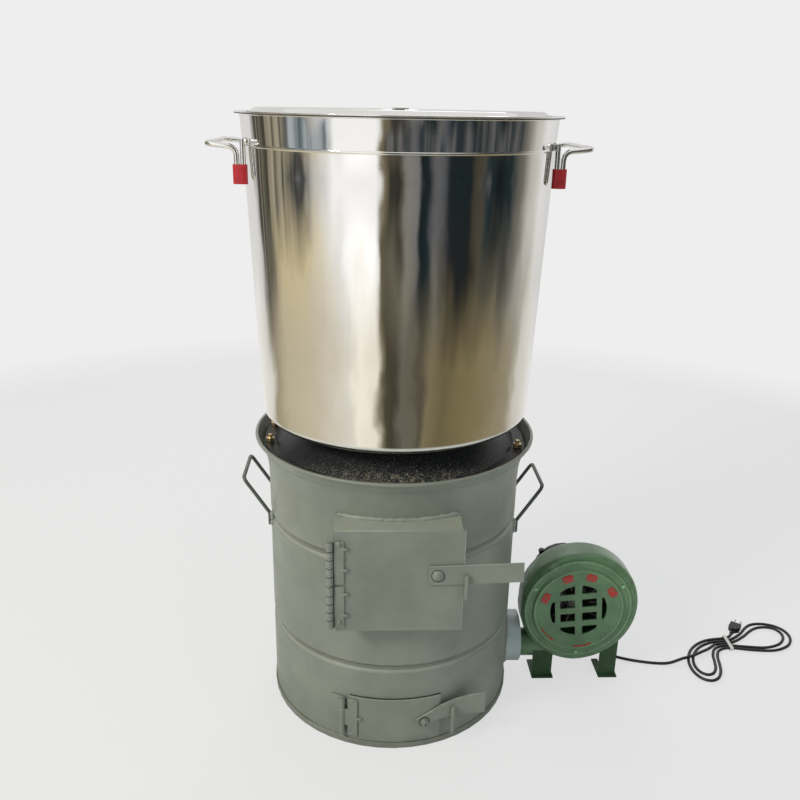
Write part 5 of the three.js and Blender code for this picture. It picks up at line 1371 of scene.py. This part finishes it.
def make_floor():
    """A plain pale floor that runs into the background far away."""
    floor = Finish("studio_floor", Base_Color=FLOOR_PALE, Roughness=0.9, Specular_IOR_Level=0.1)
    seen = floor.times(floor.add("ShaderNodeLightPath").outputs["Is Camera Ray"], FLOOR_SHOWN_SHARE)
    share = floor.math("MAXIMUM", floor.span(floor.radius(), 0.9, 2.6), seen)
    floor.show(share, floor.shader.outputs["BSDF"], floor.glow(BACKGROUND))
    stage_mesh(floor, [(-30, -30, 0), (30, -30, 0), (30, 30, 0), (-30, 30, 0)], [(0, 1, 2, 3)])


def make_world():
    """Even light from all round, and a pale background."""
    world = bpy.data.worlds.new("studio")
    bpy.context.scene.world = world
    world.use_nodes = True
    nodes, link = world.node_tree.nodes, world.node_tree.links.new
    nodes.clear()
    light = nodes.new("ShaderNodeBackground")
    light.inputs["Color"].default_value = (*LIGHT_COLOUR, 1)
    light.inputs["Strength"].default_value = LIGHT_STRENGTH
    shown = nodes.new("ShaderNodeBackground")
    shown.inputs["Color"].default_value = (*BACKGROUND, 1)
    path = nodes.new("ShaderNodeLightPath")
    either = nodes.new("ShaderNodeMath")
    either.operation = "MAXIMUM"
    link(path.outputs["Is Camera Ray"], either.inputs[0])
    link(path.outputs["Is Glossy Ray"], either.inputs[1])
    blend = nodes.new("ShaderNodeMixShader")
    link(either.outputs["Value"], blend.inputs["Fac"])
    link(light.outputs["Background"], blend.inputs[1])
    link(shown.outputs["Background"], blend.inputs[2])
    link(blend.outputs["Shader"], nodes.new("ShaderNodeOutputWorld").inputs["Surface"])


def make_lamp(name, place, target, size, power, colour):
    data = bpy.data.lights.new(name, "AREA")
    data.shape = "DISK"
    data.size = size
    data.energy = power
    data.color = colour
    lamp = new_object(name, data)
    heading = Vector(target) - Vector(place)
    lamp.rotation_euler = heading.to_track_quat("-Z", "Y").to_euler()
    lamp.location = place


def make_lights():
    make_lamp("key", (-2.5, -1.9, 2.7), (0, 0, 0.45), 1.1, 78, (1.0, 0.985, 0.87))
    make_lamp("fill", (2.6, -1.9, 1.9), (0.1, 0, 0.4), 2.0, 7, (0.76, 0.95, 1.0))
    make_lamp("back", (0.5, 3.0, 2.6), (0, 0, 0.5), 2.0, 26, (1.0, 1.0, 1.0))


# The whole scene


def make_stove(zinc):
    paint = make_drum_paint("grey_enamel", GREY, 0.55)
    varnish = make_black_varnish()
    dress_drum(paint)
    make_collar_hem(on_drum(paint))
    make_collar_blend(on_drum(paint))
    make_collar_lining((varnish, "stove", "black_iron"))
    make_drum_welds(on_drum(make_drum_paint("weld_enamel", WELD_GREY, 0.1)))
    dress_ring(varnish, make_cast_iron(), zinc, make_fire_clay())
    dress_doors(paint)
    make_door_welds(paint)
    # Lighter paint that stands in for highlights along the edges of doors, latches and hinge leaves
    edge_highlight_paint = make_drum_paint("edge_highlight_enamel", EDGE_HIGHLIGHT_GREY, 0.1)
    make_door_edge_highlights(on_drum(edge_highlight_paint, "fuel_door"))
    make_edge_highlights(edge_highlight_paint)
    # A near-black finish for the painted shade in gaps, seams and round fixings
    painted_shade = make_moulded("seam_painted_shade", (0.030, 0.032, 0.027), (0.018, 0.019, 0.016), 0.7, 0.2)
    make_hinge_seams(painted_shade)
    make_rivet_shadow(on_drum(painted_shade, "fuel_latch"))
    make_ash_shadows(painted_shade)


def make_blower(rubber, steel):
    green = make_green_paint()
    make_casing(on_blower(green))
    # The lips get a lighter copy of the green paint, a painted highlight along them
    make_cover_lip(on_blower(make_green_paint("lip_highlight_gloss", 1.22, 0.7)))
    make_cover_marks(on_blower(make_worn_red()))
    fan_steel = make_metal("fan_steel", (0.34, 0.34, 0.34), (0.22, 0.21, 0.20), 0.45)
    dress_blower(green, make_motor_black(), steel, fan_steel)
    make_strain_relief(on_blower(rubber, "rubber"))


def make_cord_and_plug(rubber, steel):
    tie = make_moulded("white_tie", (0.78, 0.78, 0.76), (0.68, 0.68, 0.65), 0.42, 0.2)
    dress("cord_tie", on_blower(tie, "tie"), FINE_ROUNDING)
    plug = dress("plug", on_blower(rubber, "rubber"), 0.0022, 3)
    pin_look = on_blower(steel, "bright_steel")
    pins = [dress(f"plug_pin_{number}", pin_look, SHEET_ROUNDING, 3) for number in (1, 2)]
    make_cord(on_blower(rubber, "rubber"))


def make_pot_and_lid():
    mirror = make_stainless("stainless_mirror", 0.020, 0.048, 0.0010)
    make_pot((mirror, "pot", "stainless"))
    make_lid((mirror, "pot_lid", "stainless"))
    # A dark finish for the painted shade under the lid's edge and in its step
    painted_shade = make_moulded("lid_painted_shade", (0.085, 0.075, 0.062), (0.050, 0.046, 0.040), 0.6, 0.2)
    make_lid_shadows((painted_shade, "pot_lid", "stainless"))
    red = make_moulded("red_plastic", (0.50, 0.014, 0.022), (0.38, 0.008, 0.014), 0.30, 0.2)
    dress_pot_handles(make_stainless("stainless_rod", 0.14, 0.26, 0.0002), red)


def make_scene():
    rubber = make_moulded("black_rubber", (0.020, 0.020, 0.021), (0.011, 0.011, 0.012), 0.36, 0.3)
    steel = make_metal("bright_steel", (0.66, 0.66, 0.65), (0.46, 0.45, 0.43), 0.24)
    make_cord_and_plug(rubber, steel)
    make_stove(make_metal("yellow_zinc", (0.90, 0.72, 0.46), (0.66, 0.50, 0.29), 0.34))
    make_blower(rubber, steel)
    make_pot_and_lid()
    make_floor()
    make_room_wall()
    make_room_floor()
    make_world()
    make_lights()


make_camera()
make_scene()
bpy.context.scene.view_settings.view_transform = "Standard"
